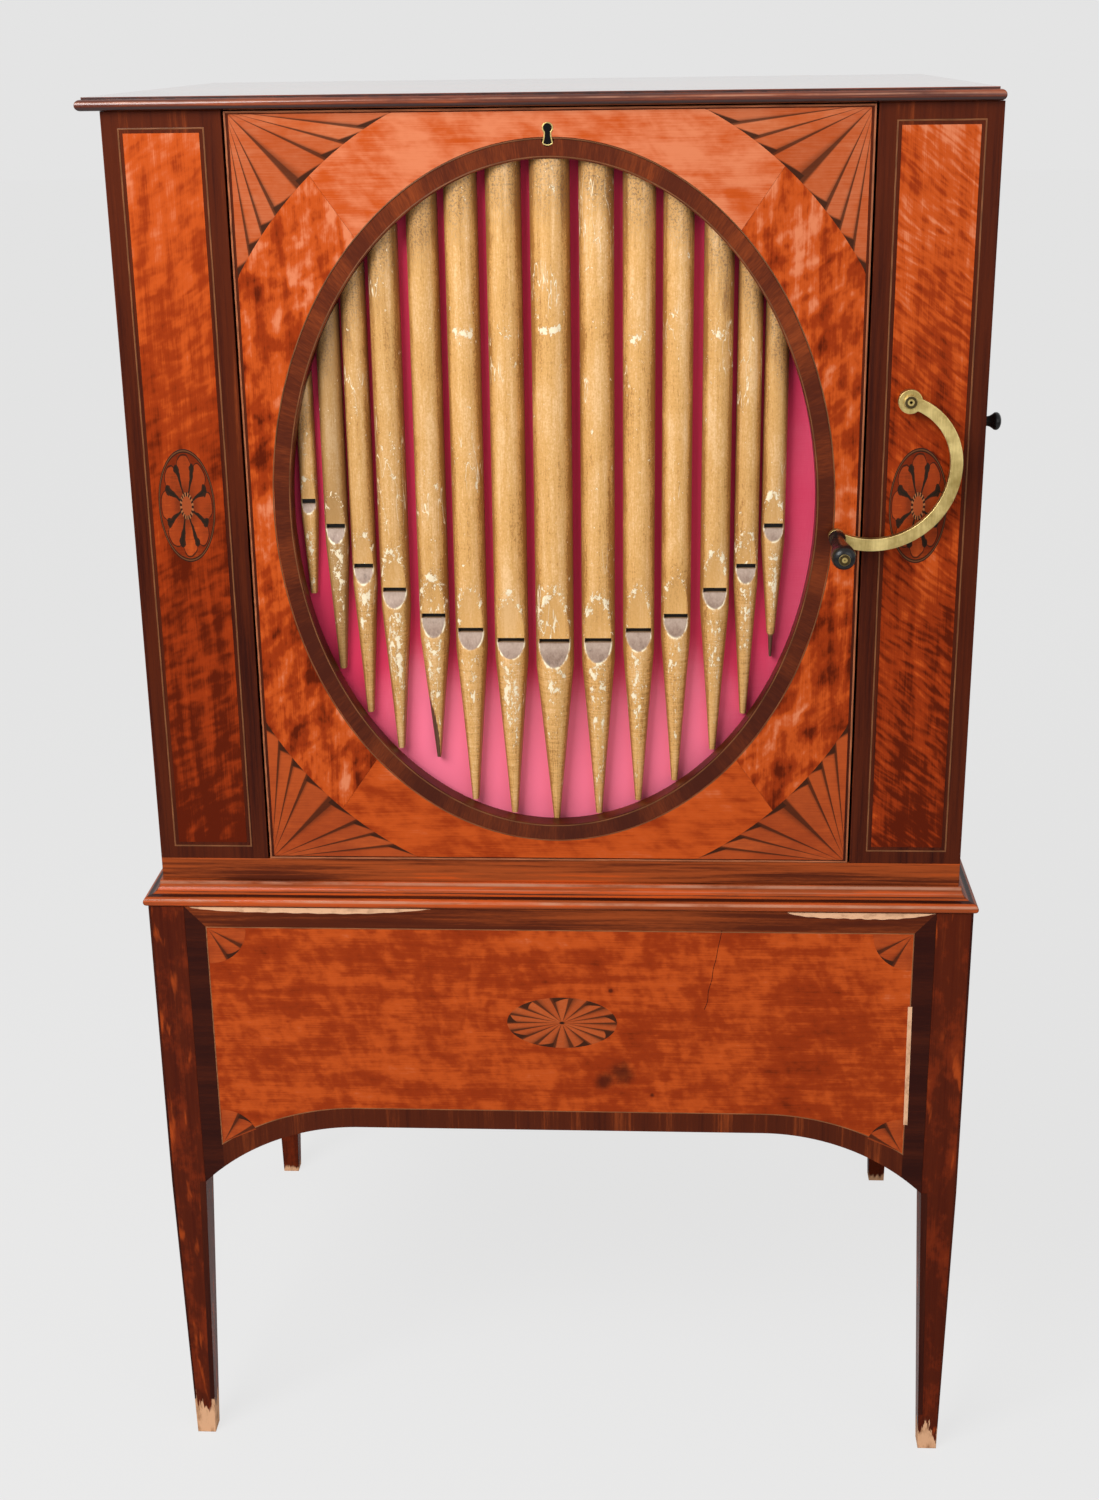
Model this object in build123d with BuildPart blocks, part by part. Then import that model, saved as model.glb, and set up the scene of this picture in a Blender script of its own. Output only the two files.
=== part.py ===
"""Chamber barrel organ with a false pipe front, on a stand with square tapered legs."""

import os

from build123d import *

os.makedirs("parts", exist_ok=True)

# Case
case_width = 680.0
case_depth = 480.0
case_height = 632.0
side_thickness = 15.0
back_thickness = 12.0
floor_thickness = 12.0
pilaster_width = 92.5
pilaster_thickness = 20.0
base_rail_height = 20.0

# Front panel with its oval window
panel_thickness = 15.0
panel_side_gap = 3.0
panel_seat_gap = 0.3
panel_top_gap = 0.8
oval_side_margin = 20.7
oval_top_margin = 22.9
oval_bottom_margin = 19.4
banding_width = 13.8
banding_proud = 0.6
oval_clearance = 0.2
cleat_width = 15.0
cleat_inset = 2.0
cleat_end_inset = 25.0
silk_thickness = 0.8
board_thickness = 6.0

# Keyhole and its brass lining
keyhole_width = 4.6
keyhole_round_radius = 3.1
keyhole_drop = 9.0
escutcheon_wall = 1.5
escutcheon_proud = 0.4
escutcheon_clearance = 0.1
keyhole_below_top = 15.5

# Dummy pipes
pipe_tip_radius = 2.6
pipe_clearance = 0.3
mouth_slot_height = 2.6
upper_lip_height = 40.0
lower_lip_height = 14.0
foot_shoulder = 2.0
broken_stub_lift = 11.0
split_foot_lift = 19.0
split_height = 52.0

# Lid
lid_left_overhang = 17.2
lid_right_setback = 0.2
lid_overhang = 8.4
lid_bead_height = 8.2
lid_fillet_height = 1.8
lid_fillet_setback = 4.6
lid_gap = 0.3
lid_hinge_span = 440.0
hinge_width = 56.0
hinge_leaf_height = 30.0
hinge_leaf_thickness = 1.8
hinge_knuckle_radius = 3.2
hinge_pin_radius = 1.6
hinge_running_clearance = 0.1
hinge_side_clearance = 0.5

# Stand
leg_height = 548.0
leg_width = 31.0
foot_width = 17.0
foot_inset = 3.5
knee_height = 276.0
stand_overhang = 12.0
apron_thickness = 20.0
arch_rise = 58.5
arch_shoulder = 142.0
stand_top_thickness = 20.0

# Waist moulding
moulding_overhang = 15.5
moulding_bead_radius = 4.4
moulding_step = 3.4
moulding_fillet = 2.4
moulding_fillet_height = 3.0

# Crank handle
crank_up = 411.5
crank_bulge_across = 38.0
crank_bulge_drop = 49.5
crank_reach_across = 53.0
crank_reach_drop = 107.3
crank_arm_width = 9.6
crank_arm_thickness = 6.0
crank_stand_off = 8.0
crank_boss_radius = 9.3
crank_end_radius = 6.5
crank_axle_radius = 5.6
crank_axle_inside = 60.0
crank_collar_radius = 8.0
crank_nut_radius = 5.0
crank_nut_height = 3.0
crank_running_clearance = 0.1
crank_face_gap = 0.5
grip_length = 70.0
grip_back_radius = 6.8
grip_waist_radius = 5.2
grip_front_radius = 9.4
grip_flange = 9.0
grip_shoulder = 5.0
grip_pin_radius = 2.6
grip_washer_radius = 4.4
grip_washer_thickness = 1.6

# Stop knob in the right side
knob_back = 55.0
knob_up = 384.0
knob_head_radius = 7.2
knob_head_thickness = 6.4
knob_neck_radius = 3.6
knob_neck_length = 13.5
knob_rod_radius = 3.4
knob_rod_inside = 60.0
knob_running_clearance = 0.1
knob_face_gap = 0.5

# One overrun for every cut that passes right through
cut_overrun = 5.0

# Shares chosen by eye for the row of pipes, counted from the tallest one outwards
largest_pipe_share = 0.07333
pipe_place_shares = (0.0, 0.171, 0.329, 0.474, 0.624, 0.743, 0.845, 0.948)
pipe_radius_shares = (1.0, 0.88, 0.83, 0.78, 0.76, 0.63, 0.61, 0.45)
mouth_height_shares = (-0.412, -0.412, -0.381, -0.337, -0.256, -0.184, -0.061, 0.013)
pipe_flat_share = 0.6
lip_depth_share = 0.24
slot_depth_share = 0.75
split_width_share = 0.45
stub_radius_share = 0.5
bead_round_share = 0.48
crank_place_share = 0.34054
knob_flare_share = 0.55
knob_crown_share = 0.4
knob_crown_radius_share = 0.6

# Levels and planes worked out from the sizes above
case_bottom = leg_height + stand_top_thickness
case_top = case_bottom + case_height
front_y = -case_depth / 2
back_y = case_depth / 2
half_case = case_width / 2
stand_half = half_case + stand_overhang
stand_front_y = front_y - stand_overhang
pilaster_inner = half_case - pilaster_width
panel_half = pilaster_inner - panel_side_gap
panel_bottom = case_bottom + base_rail_height + panel_seat_gap
panel_top = case_top - panel_top_gap
oval_top = panel_top - oval_top_margin
oval_bottom = panel_bottom + oval_bottom_margin
oval_centre_z = (oval_bottom + oval_top) / 2
oval_half_width = panel_half - oval_side_margin - banding_width
oval_half_height = (oval_top - oval_bottom) / 2 - banding_width
largest_pipe_radius = oval_half_width * largest_pipe_share
silk_depth = largest_pipe_radius * (1 + pipe_flat_share)
silk_front_y = front_y + silk_depth
lid_bottom = case_top + lid_gap
lid_front_y = front_y - lid_overhang
lid_height = lid_bead_height + lid_fillet_height
lid_width = case_width + lid_left_overhang - lid_right_setback
lid_shift = -(lid_left_overhang + lid_right_setback) / 2
crank_across = pilaster_inner + pilaster_width * crank_place_share
crank_z = case_bottom + crank_up
grip_x = crank_across - crank_reach_across
grip_z = crank_z - crank_reach_drop
arm_back_y = front_y - crank_stand_off
arm_front_y = arm_back_y - crank_arm_thickness
hinge_axis_y = back_y + hinge_leaf_thickness + hinge_knuckle_radius
apron_span = 2 * (stand_half - leg_width)
side_apron_front_y = stand_front_y + leg_width
side_apron_back_y = back_y - leg_width


def keep(piece, label):
    """Labels a finished piece and writes it to its own file."""
    piece.part.label = label
    export_step(piece.part, f"parts/{label}.step")


def make_board(label, x_range, y_range, z_range):
    """A plain board between two X, two Y and two Z levels."""
    with BuildPart() as board:
        with BuildSketch(Plane.XY.offset(z_range[0])):
            with Locations(((x_range[0] + x_range[1]) / 2, (y_range[0] + y_range[1]) / 2)):
                Rectangle(x_range[1] - x_range[0], y_range[1] - y_range[0])
        extrude(amount=z_range[1] - z_range[0])
    keep(board, label)


# Stand: legs, arched aprons and the board that carries the case
def make_leg(label, side, front):
    """A square leg, straight down to its knee and tapered from there to a small foot."""
    outer_x = side * stand_half
    outer_y = stand_front_y if front else back_y
    inward = 1 if front else -1
    foot_outside = foot_inset
    foot_inside = foot_inset + foot_width
    with BuildPart() as leg:
        with BuildSketch(Plane.XZ):
            with BuildLine():
                Polyline(
                    (outer_x, leg_height),
                    (outer_x, knee_height),
                    (outer_x - side * foot_outside, 0),
                    (outer_x - side * foot_inside, 0),
                    (outer_x - side * leg_width, knee_height),
                    (outer_x - side * leg_width, leg_height),
                    close=True,
                )
            make_face()
        extrude(amount=case_depth, both=True)
        with BuildSketch(Plane.YZ):
            with BuildLine():
                Polyline(
                    (outer_y, leg_height),
                    (outer_y, knee_height),
                    (outer_y + inward * foot_outside, 0),
                    (outer_y + inward * foot_inside, 0),
                    (outer_y + inward * leg_width, knee_height),
                    (outer_y + inward * leg_width, leg_height),
                    close=True,
                )
            make_face()
        extrude(amount=case_width, both=True, mode=Mode.INTERSECT)
    keep(leg, label)


make_leg("leg_front_left", -1, True)
make_leg("leg_front_right", 1, True)
make_leg("leg_back_left", -1, False)
make_leg("leg_back_right", 1, False)


def make_apron(label, plane, span):
    """An apron between two legs, its lower edge a flat crown that turns down in two arcs."""
    half = span / 2
    crown = knee_height + arch_rise
    flat_half = half - arch_shoulder
    with BuildPart() as apron:
        with BuildSketch(plane):
            with BuildLine():
                Polyline((-half, knee_height), (-half, leg_height), (half, leg_height), (half, knee_height))
                TangentArc((flat_half, crown), (half, knee_height), tangent=(1, 0))
                Line((flat_half, crown), (-flat_half, crown))
                TangentArc((-flat_half, crown), (-half, knee_height), tangent=(-1, 0))
            make_face()
        extrude(amount=-apron_thickness)
    keep(apron, label)


side_apron_middle_y = (side_apron_front_y + side_apron_back_y) / 2
side_apron_span = side_apron_back_y - side_apron_front_y
make_apron("front_apron", Plane.XZ.offset(-stand_front_y), apron_span)
make_apron("back_apron", Plane((0, back_y, 0), x_dir=(-1, 0, 0), z_dir=(0, 1, 0)), apron_span)
make_apron(
    "left_apron",
    Plane((-stand_half, side_apron_middle_y, 0), x_dir=(0, -1, 0), z_dir=(-1, 0, 0)),
    side_apron_span,
)
make_apron(
    "right_apron",
    Plane((stand_half, side_apron_middle_y, 0), x_dir=(0, 1, 0), z_dir=(1, 0, 0)),
    side_apron_span,
)
make_board("stand_top", (-half_case, half_case), (front_y, back_y), (leg_height, case_bottom))


# Waist moulding: a bead, a step and a cove, mitred at the two front corners
def make_moulding(label, plane, length, footprint):
    """The moulding profile carried along one side and trimmed to its mitred footprint."""
    bead_out = moulding_overhang - moulding_bead_radius
    bead_height = 2 * moulding_bead_radius
    cove_out = moulding_overhang - moulding_step
    cove_top = stand_top_thickness - moulding_fillet_height
    with BuildPart() as moulding:
        with BuildSketch(plane):
            with BuildLine():
                Polyline((0, 0), (bead_out, 0))
                ThreePointArc(
                    (bead_out, 0),
                    (moulding_overhang, moulding_bead_radius),
                    (bead_out, bead_height),
                )
                TangentArc((cove_out, bead_height), (moulding_fillet, cove_top), tangent=(-1, 0))
                Line((bead_out, bead_height), (cove_out, bead_height))
                Polyline(
                    (moulding_fillet, cove_top),
                    (moulding_fillet, stand_top_thickness),
                    (0, stand_top_thickness),
                    (0, 0),
                )
            make_face()
        extrude(amount=length, both=True)
        with BuildSketch(Plane.XY.offset(leg_height)):
            with BuildLine():
                Polyline(*footprint, close=True)
            make_face()
        extrude(amount=stand_top_thickness, mode=Mode.INTERSECT)
    keep(moulding, label)


moulding_half = half_case + moulding_overhang
moulding_front_y = front_y - moulding_overhang
make_moulding(
    "waist_moulding_front",
    Plane((0, front_y, leg_height), x_dir=(0, -1, 0), z_dir=(-1, 0, 0)),
    moulding_half,
    (
        (-half_case, front_y),
        (half_case, front_y),
        (moulding_half, moulding_front_y),
        (-moulding_half, moulding_front_y),
    ),
)
for side_name, side in (("left", -1), ("right", 1)):
    make_moulding(
        f"waist_moulding_{side_name}",
        Plane((side * half_case, 0, leg_height), x_dir=(side, 0, 0), z_dir=(0, -side, 0)),
        moulding_half,
        (
            (side * half_case, front_y),
            (side * moulding_half, moulding_front_y),
            (side * moulding_half, back_y),
            (side * half_case, back_y),
        ),
    )

# Case: floor, back, left side, base rail and left pilaster are plain boards
inner_half = half_case - side_thickness
carcase_front_y = front_y + pilaster_thickness
make_board(
    "case_floor",
    (-inner_half, inner_half),
    (carcase_front_y, back_y - back_thickness),
    (case_bottom, case_bottom + floor_thickness),
)
make_board(
    "case_back",
    (-inner_half, inner_half),
    (back_y - back_thickness, back_y),
    (case_bottom, case_top),
)
make_board("left_side", (-half_case, -inner_half), (carcase_front_y, back_y), (case_bottom, case_top))
make_board(
    "base_rail",
    (-half_case, half_case),
    (front_y, carcase_front_y),
    (case_bottom, case_bottom + base_rail_height),
)
make_board(
    "left_pilaster",
    (-half_case, -pilaster_inner),
    (front_y, carcase_front_y),
    (case_bottom + base_rail_height, case_top),
)

with BuildPart() as right_side:
    with BuildSketch(Plane.XY.offset(case_bottom)):
        with Locations((half_case - side_thickness / 2, (carcase_front_y + back_y) / 2)):
            Rectangle(side_thickness, back_y - carcase_front_y)
    extrude(amount=case_height)
    with BuildSketch(Plane.YZ.offset(half_case)):
        with Locations((front_y + knob_back, case_bottom + knob_up)):
            Circle(knob_rod_radius + knob_running_clearance)
    extrude(amount=-side_thickness, mode=Mode.SUBTRACT)
keep(right_side, "right_side")

with BuildPart() as right_pilaster:
    with BuildSketch(Plane.XY.offset(case_bottom + base_rail_height)):
        with Locations((half_case - pilaster_width / 2, (front_y + carcase_front_y) / 2)):
            Rectangle(pilaster_width, pilaster_thickness)
    extrude(amount=case_height - base_rail_height)
    with BuildSketch(Plane.XZ.offset(-front_y)):
        with Locations((crank_across, crank_z)):
            Circle(crank_axle_radius + crank_running_clearance)
    extrude(amount=-pilaster_thickness, mode=Mode.SUBTRACT)
keep(right_pilaster, "right_pilaster")

# Front panel: a board with the oval window and the keyhole cut through it
outer_half_width = oval_half_width + banding_width
outer_half_height = oval_half_height + banding_width
keyhole_z = case_top - keyhole_below_top
escutcheon_radius = keyhole_round_radius + escutcheon_wall
with BuildPart() as front_panel:
    with BuildSketch(Plane.XZ.offset(-front_y)):
        with Locations((0, (panel_bottom + panel_top) / 2)):
            Rectangle(2 * panel_half, panel_top - panel_bottom)
        with Locations((0, oval_centre_z)):
            Ellipse(
                outer_half_width + oval_clearance,
                outer_half_height + oval_clearance,
                mode=Mode.SUBTRACT,
            )
        with Locations((0, keyhole_z - keyhole_drop / 2)):
            SlotCenterToCenter(
                keyhole_drop,
                2 * (escutcheon_radius + escutcheon_clearance),
                rotation=90,
                mode=Mode.SUBTRACT,
            )
    extrude(amount=-panel_thickness)
keep(front_panel, "front_panel")

with BuildPart() as oval_banding:
    with BuildSketch(Plane.XZ.offset(-front_y + banding_proud)):
        with Locations((0, oval_centre_z)):
            Ellipse(outer_half_width, outer_half_height)
            Ellipse(oval_half_width, oval_half_height, mode=Mode.SUBTRACT)
        with Locations((0, keyhole_z - keyhole_drop / 2)):
            SlotCenterToCenter(
                keyhole_drop,
                2 * (escutcheon_radius + escutcheon_clearance),
                rotation=90,
                mode=Mode.SUBTRACT,
            )
    extrude(amount=-(panel_thickness + banding_proud))
keep(oval_banding, "oval_banding")

with BuildPart() as keyhole_escutcheon:
    with BuildSketch(Plane.XZ.offset(-front_y + banding_proud + escutcheon_proud)):
        with Locations((0, keyhole_z - keyhole_drop / 2)):
            SlotCenterToCenter(keyhole_drop, 2 * escutcheon_radius, rotation=90)
        with Locations((0, keyhole_z)):
            Circle(keyhole_round_radius, mode=Mode.SUBTRACT)
        with Locations((0, keyhole_z - keyhole_drop / 2)):
            SlotCenterToCenter(keyhole_drop, keyhole_width, rotation=90, mode=Mode.SUBTRACT)
    extrude(amount=-(panel_thickness + banding_proud + escutcheon_proud))
keep(keyhole_escutcheon, "keyhole_escutcheon")

# Behind the window: two cleats on the panel's back, the silk and its board
cleat_outer = panel_half - cleat_inset
cleat_bottom = panel_bottom + cleat_end_inset
cleat_top = panel_top - cleat_end_inset
panel_back_y = front_y + panel_thickness
silk_back_y = silk_front_y + silk_thickness
for side_name, side in (("left", -1), ("right", 1)):
    cleat_edges = sorted((side * cleat_outer, side * (cleat_outer - cleat_width)))
    make_board(f"{side_name}_cleat", cleat_edges, (panel_back_y, silk_front_y), (cleat_bottom, cleat_top))
make_board("silk", (-cleat_outer, cleat_outer), (silk_front_y, silk_back_y), (cleat_bottom, cleat_top))
make_board(
    "backing_board",
    (-cleat_outer, cleat_outer),
    (silk_back_y, silk_back_y + board_thickness),
    (cleat_bottom, cleat_top),
)


# Dummy pipes: half-round bodies with tapered feet, flattened lips at the mouth, fitted to the oval
def oval_rise(across):
    """Half the height left for the pipes in the window at a distance from its middle."""
    across_share = across / (oval_half_width - pipe_clearance)
    return (oval_half_height - pipe_clearance) * (1 - across_share**2) ** 0.5


def make_pipe(label, side, step, lift=0.0, split=False):
    """One pipe, round in front with a flat back on the silk, cut to the oval at its top."""
    radius = largest_pipe_radius * pipe_radius_shares[step]
    pipe_x = side * oval_half_width * pipe_place_shares[step]
    axis_y = silk_front_y - pipe_flat_share * radius
    pipe_front_y = axis_y - radius
    mouth_z = oval_centre_z + oval_half_height * mouth_height_shares[step]
    tip_radius = radius * stub_radius_share if lift else pipe_tip_radius
    tip_z = oval_centre_z - oval_rise(abs(pipe_x) + pipe_tip_radius) + lift
    top_z = oval_centre_z + oval_half_height
    trim_left = pipe_x - radius - pipe_clearance
    trim_right = pipe_x + radius + pipe_clearance
    lip_depth = radius * lip_depth_share
    slot_top = mouth_z + mouth_slot_height / 2
    slot_bottom = mouth_z - mouth_slot_height / 2
    lip_bottom = slot_bottom - lower_lip_height
    foot_top = lip_bottom - foot_shoulder
    outline = ((0, tip_z), (tip_radius, tip_z), (radius, foot_top), (radius, top_z), (0, top_z))
    axis_plane = Plane((pipe_x, axis_y, 0), x_dir=(1, 0, 0), z_dir=(0, -1, 0))
    with BuildPart() as pipe:
        with BuildSketch(axis_plane):
            with BuildLine():
                Polyline(*outline, close=True)
            make_face()
            mirror(about=Plane.YZ)
        extrude(amount=-radius * pipe_flat_share)
        with BuildSketch(axis_plane):
            with BuildLine():
                Polyline(*outline, close=True)
            make_face()
        revolve(axis=Axis((pipe_x, axis_y, 0), (0, 0, -1)), revolution_arc=180)
        with BuildSketch(Plane((pipe_x, 0, 0), x_dir=(0, 1, 0), z_dir=(1, 0, 0))):
            with BuildLine():
                Polyline(
                    (pipe_front_y - cut_overrun, lip_bottom),
                    (pipe_front_y, lip_bottom),
                    (pipe_front_y + lip_depth, slot_bottom),
                    (pipe_front_y + radius * slot_depth_share, slot_bottom),
                    (pipe_front_y + radius * slot_depth_share, slot_top),
                    (pipe_front_y + lip_depth, slot_top),
                    (pipe_front_y, slot_top + upper_lip_height),
                    (pipe_front_y - cut_overrun, slot_top + upper_lip_height),
                    close=True,
                )
            make_face()
        extrude(amount=radius, both=True, mode=Mode.SUBTRACT)
        with BuildSketch(Plane.XZ.offset(-silk_front_y)):
            with BuildLine():
                Polyline(
                    (trim_left, oval_centre_z + oval_rise(trim_left)),
                    (pipe_x, oval_centre_z + oval_rise(pipe_x)),
                    (trim_right, oval_centre_z + oval_rise(trim_right)),
                    (trim_right, top_z + cut_overrun),
                    (trim_left, top_z + cut_overrun),
                    close=True,
                )
            make_face()
        extrude(amount=silk_depth + cut_overrun, mode=Mode.SUBTRACT)
        if split:
            with BuildSketch(Plane.XZ.offset(-silk_front_y)):
                with BuildLine():
                    Polyline(
                        (pipe_x - radius, tip_z - cut_overrun),
                        (pipe_x, tip_z - cut_overrun),
                        (pipe_x - radius * split_width_share, tip_z + split_height),
                        (pipe_x - radius, tip_z + split_height),
                        close=True,
                    )
                make_face()
            extrude(amount=silk_depth + cut_overrun, mode=Mode.SUBTRACT)
    keep(pipe, label)


outermost_step = len(pipe_place_shares) - 1
split_pipe = 5
stub_pipe = 14
for number in range(1, 2 * outermost_step + 1):
    place = number - 1 - outermost_step
    if number == split_pipe:
        make_pipe(f"pipe_{number:02d}", -1, -place, split_foot_lift, True)
    elif number == stub_pipe:
        make_pipe(f"pipe_{number:02d}", 1, place, broken_stub_lift)
    else:
        make_pipe(f"pipe_{number:02d}", -1 if place < 0 else 1, abs(place))

# Lid: a board with a half-round edge and a small fillet, its rear edge flush with the case
lid_depth = back_y - lid_front_y
lid_middle_y = (back_y + lid_front_y) / 2
with BuildPart() as lid:
    with BuildSketch(Plane.XY.offset(lid_bottom)):
        with Locations((lid_shift, lid_middle_y)):
            Rectangle(lid_width, lid_depth)
    extrude(amount=lid_bead_height)
    long_edges = lid.edges().filter_by(Axis.X).group_by(Axis.Y)[0]
    end_edges = lid.edges().filter_by(Axis.Y)
    fillet(long_edges + end_edges, radius=lid_bead_height * bead_round_share)
    with BuildSketch(Plane.XY.offset(lid_bottom + lid_bead_height)):
        with Locations((lid_shift, lid_middle_y + lid_fillet_setback / 2)):
            Rectangle(lid_width - 2 * lid_fillet_setback, lid_depth - lid_fillet_setback)
    extrude(amount=lid_fillet_height)
keep(lid, "lid")

# Lid hinges: a pair of butts planted on the case back and on the lid's rear edge
hinge_middles = (-lid_hinge_span / 2, lid_hinge_span / 2)
knuckle_length = hinge_width / 3
with BuildPart() as case_hinge_leaves:
    for hinge_x in hinge_middles:
        with BuildSketch(Plane.XZ.offset(-back_y)):
            with Locations((hinge_x, lid_bottom - hinge_knuckle_radius - hinge_leaf_height / 2)):
                Rectangle(hinge_width, hinge_leaf_height)
        extrude(amount=-hinge_leaf_thickness)
        for end in (-1, 1):
            with BuildSketch(Plane.YZ.offset(hinge_x + end * knuckle_length)):
                with Locations((hinge_axis_y, lid_bottom)):
                    Circle(hinge_knuckle_radius)
                with BuildLine():
                    Polyline(
                        (back_y, lid_bottom - 2 * hinge_knuckle_radius),
                        (back_y + hinge_leaf_thickness, lid_bottom - 2 * hinge_knuckle_radius),
                        (hinge_axis_y + hinge_knuckle_radius, lid_bottom),
                        (hinge_axis_y - hinge_knuckle_radius, lid_bottom),
                        close=True,
                    )
                make_face()
            extrude(amount=knuckle_length / 2, both=True)
        with BuildSketch(Plane.YZ.offset(hinge_x)):
            with Locations((hinge_axis_y, lid_bottom)):
                Circle(hinge_pin_radius)
        extrude(amount=hinge_width / 2, both=True)
keep(case_hinge_leaves, "case_hinge_leaves")

with BuildPart() as lid_hinge_leaves:
    for hinge_x in hinge_middles:
        with BuildSketch(Plane.YZ.offset(hinge_x)):
            with Locations((hinge_axis_y, lid_bottom)):
                Circle(hinge_knuckle_radius)
            with BuildLine():
                Polyline(
                    (back_y, lid_bottom + hinge_knuckle_radius),
                    (hinge_axis_y, lid_bottom),
                    (hinge_axis_y + hinge_knuckle_radius, lid_bottom),
                    (back_y + hinge_leaf_thickness, lid_bottom + lid_height),
                    (back_y, lid_bottom + lid_height),
                    close=True,
                )
            make_face()
            with Locations((hinge_axis_y, lid_bottom)):
                Circle(hinge_pin_radius + hinge_running_clearance, mode=Mode.SUBTRACT)
        extrude(amount=knuckle_length / 2 - hinge_side_clearance, both=True)
keep(lid_hinge_leaves, "lid_hinge_leaves")

# Crank: an axle in the right pilaster, a flat curved arm and a turned grip on its pin
with BuildPart() as crank_axle:
    with BuildSketch(Plane.XZ.offset(-front_y - crank_axle_inside)):
        with Locations((crank_across, crank_z)):
            Circle(crank_axle_radius)
    extrude(amount=crank_axle_inside + crank_face_gap)
    with BuildSketch(Plane.XZ.offset(-front_y + crank_face_gap)):
        with Locations((crank_across, crank_z)):
            Circle(crank_collar_radius)
    extrude(amount=crank_stand_off - crank_face_gap)
keep(crank_axle, "crank_axle")

bulge = (crank_across + crank_bulge_across, crank_z - crank_bulge_drop)
with BuildPart() as crank_arm:
    with BuildSketch(Plane.XZ.offset(-arm_back_y)):
        with BuildLine():
            TangentArc(bulge, (crank_across, crank_z), tangent=(0, 1))
            TangentArc(bulge, (grip_x, grip_z), tangent=(0, -1))
        trace(line_width=crank_arm_width)
        with Locations((crank_across, crank_z)):
            Circle(crank_boss_radius)
        with Locations((grip_x, grip_z)):
            Circle(crank_end_radius)
    extrude(amount=crank_arm_thickness)
    with BuildSketch(Plane.XZ.offset(-arm_front_y)):
        with Locations((crank_across, crank_z)):
            Circle(crank_nut_radius)
    extrude(amount=crank_nut_height)
    with BuildSketch(Plane.XZ.offset(-arm_front_y)):
        with Locations((grip_x, grip_z)):
            Circle(grip_pin_radius)
    extrude(amount=grip_length + crank_face_gap + grip_washer_thickness)
    with BuildSketch(Plane.XZ.offset(-arm_front_y + grip_length + 2 * crank_face_gap)):
        with Locations((grip_x, grip_z)):
            Circle(grip_washer_radius)
    extrude(amount=grip_washer_thickness)
keep(crank_arm, "crank_arm")

grip_back_y = arm_front_y - crank_face_gap
grip_front_y = grip_back_y - grip_length
grip_bore = grip_pin_radius + crank_running_clearance
with BuildPart() as crank_grip:
    with BuildSketch(Plane((grip_x, 0, grip_z), x_dir=(0, -1, 0), z_dir=(1, 0, 0))):
        with BuildLine():
            Polyline(
                (-grip_back_y, grip_bore),
                (-grip_back_y, grip_back_radius),
                (-grip_back_y + grip_flange, grip_back_radius),
                (-grip_back_y + grip_flange + grip_shoulder, grip_waist_radius),
                (-grip_front_y - grip_flange - grip_shoulder, grip_waist_radius),
                (-grip_front_y - grip_flange, grip_front_radius),
                (-grip_front_y, grip_front_radius),
                (-grip_front_y, grip_bore),
                close=True,
            )
        make_face()
    revolve(axis=Axis((grip_x, 0, grip_z), (0, 1, 0)))
keep(crank_grip, "crank_grip")

# Stop knob: a turned knob on a rod that slides in the right side
knob_y = front_y + knob_back
knob_z = case_bottom + knob_up
knob_start_x = half_case + knob_face_gap
knob_neck_x = knob_start_x + knob_neck_length
knob_end_x = knob_neck_x + knob_head_thickness
knob_flare_x = knob_start_x + knob_neck_length * knob_flare_share
knob_crown_x = knob_end_x - knob_head_thickness * knob_crown_share
knob_crown_radius = knob_head_radius * knob_crown_radius_share
with BuildPart() as stop_knob:
    with BuildSketch(Plane((0, knob_y, knob_z), x_dir=(1, 0, 0), z_dir=(0, -1, 0))):
        with BuildLine():
            Polyline(
                (half_case - knob_rod_inside, 0),
                (half_case - knob_rod_inside, knob_rod_radius),
                (knob_start_x, knob_rod_radius),
                (knob_start_x, knob_neck_radius),
                (knob_flare_x, knob_neck_radius),
                (knob_neck_x, knob_head_radius),
                (knob_crown_x, knob_head_radius),
                (knob_end_x, knob_crown_radius),
                (knob_end_x, 0),
                close=True,
            )
        make_face()
    revolve(axis=Axis((0, knob_y, knob_z), (1, 0, 0)))
keep(stop_knob, "stop_knob")
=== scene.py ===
"""Chamber barrel organ on a stand: veneers, gilt pipes, silk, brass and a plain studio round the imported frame."""
import math

import bmesh
import bpy
import numpy as np
from bpy.props import FloatProperty, FloatVectorProperty, IntProperty, PointerProperty
from bpy.types import Operator, Panel, PropertyGroup
from mathutils import Matrix, Vector


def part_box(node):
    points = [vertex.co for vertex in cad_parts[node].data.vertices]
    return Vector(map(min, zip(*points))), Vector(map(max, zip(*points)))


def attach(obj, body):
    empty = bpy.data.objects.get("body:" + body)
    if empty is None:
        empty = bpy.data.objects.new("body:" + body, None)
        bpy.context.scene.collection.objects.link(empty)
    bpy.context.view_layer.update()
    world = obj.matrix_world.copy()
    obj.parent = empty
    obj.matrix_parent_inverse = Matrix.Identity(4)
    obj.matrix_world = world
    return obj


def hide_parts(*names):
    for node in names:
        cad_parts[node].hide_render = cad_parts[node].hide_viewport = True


bl_info = {
    "name": "Chamber Barrel Organ",
    "version": (1, 0, 0),
    "blender": (4, 5, 0),
    "location": "View3D > Sidebar > Organ",
    "description": "Dresses the packed organ with veneers, gilt pipes, silk and brass in a plain studio",
    "category": "Object",
}

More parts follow.
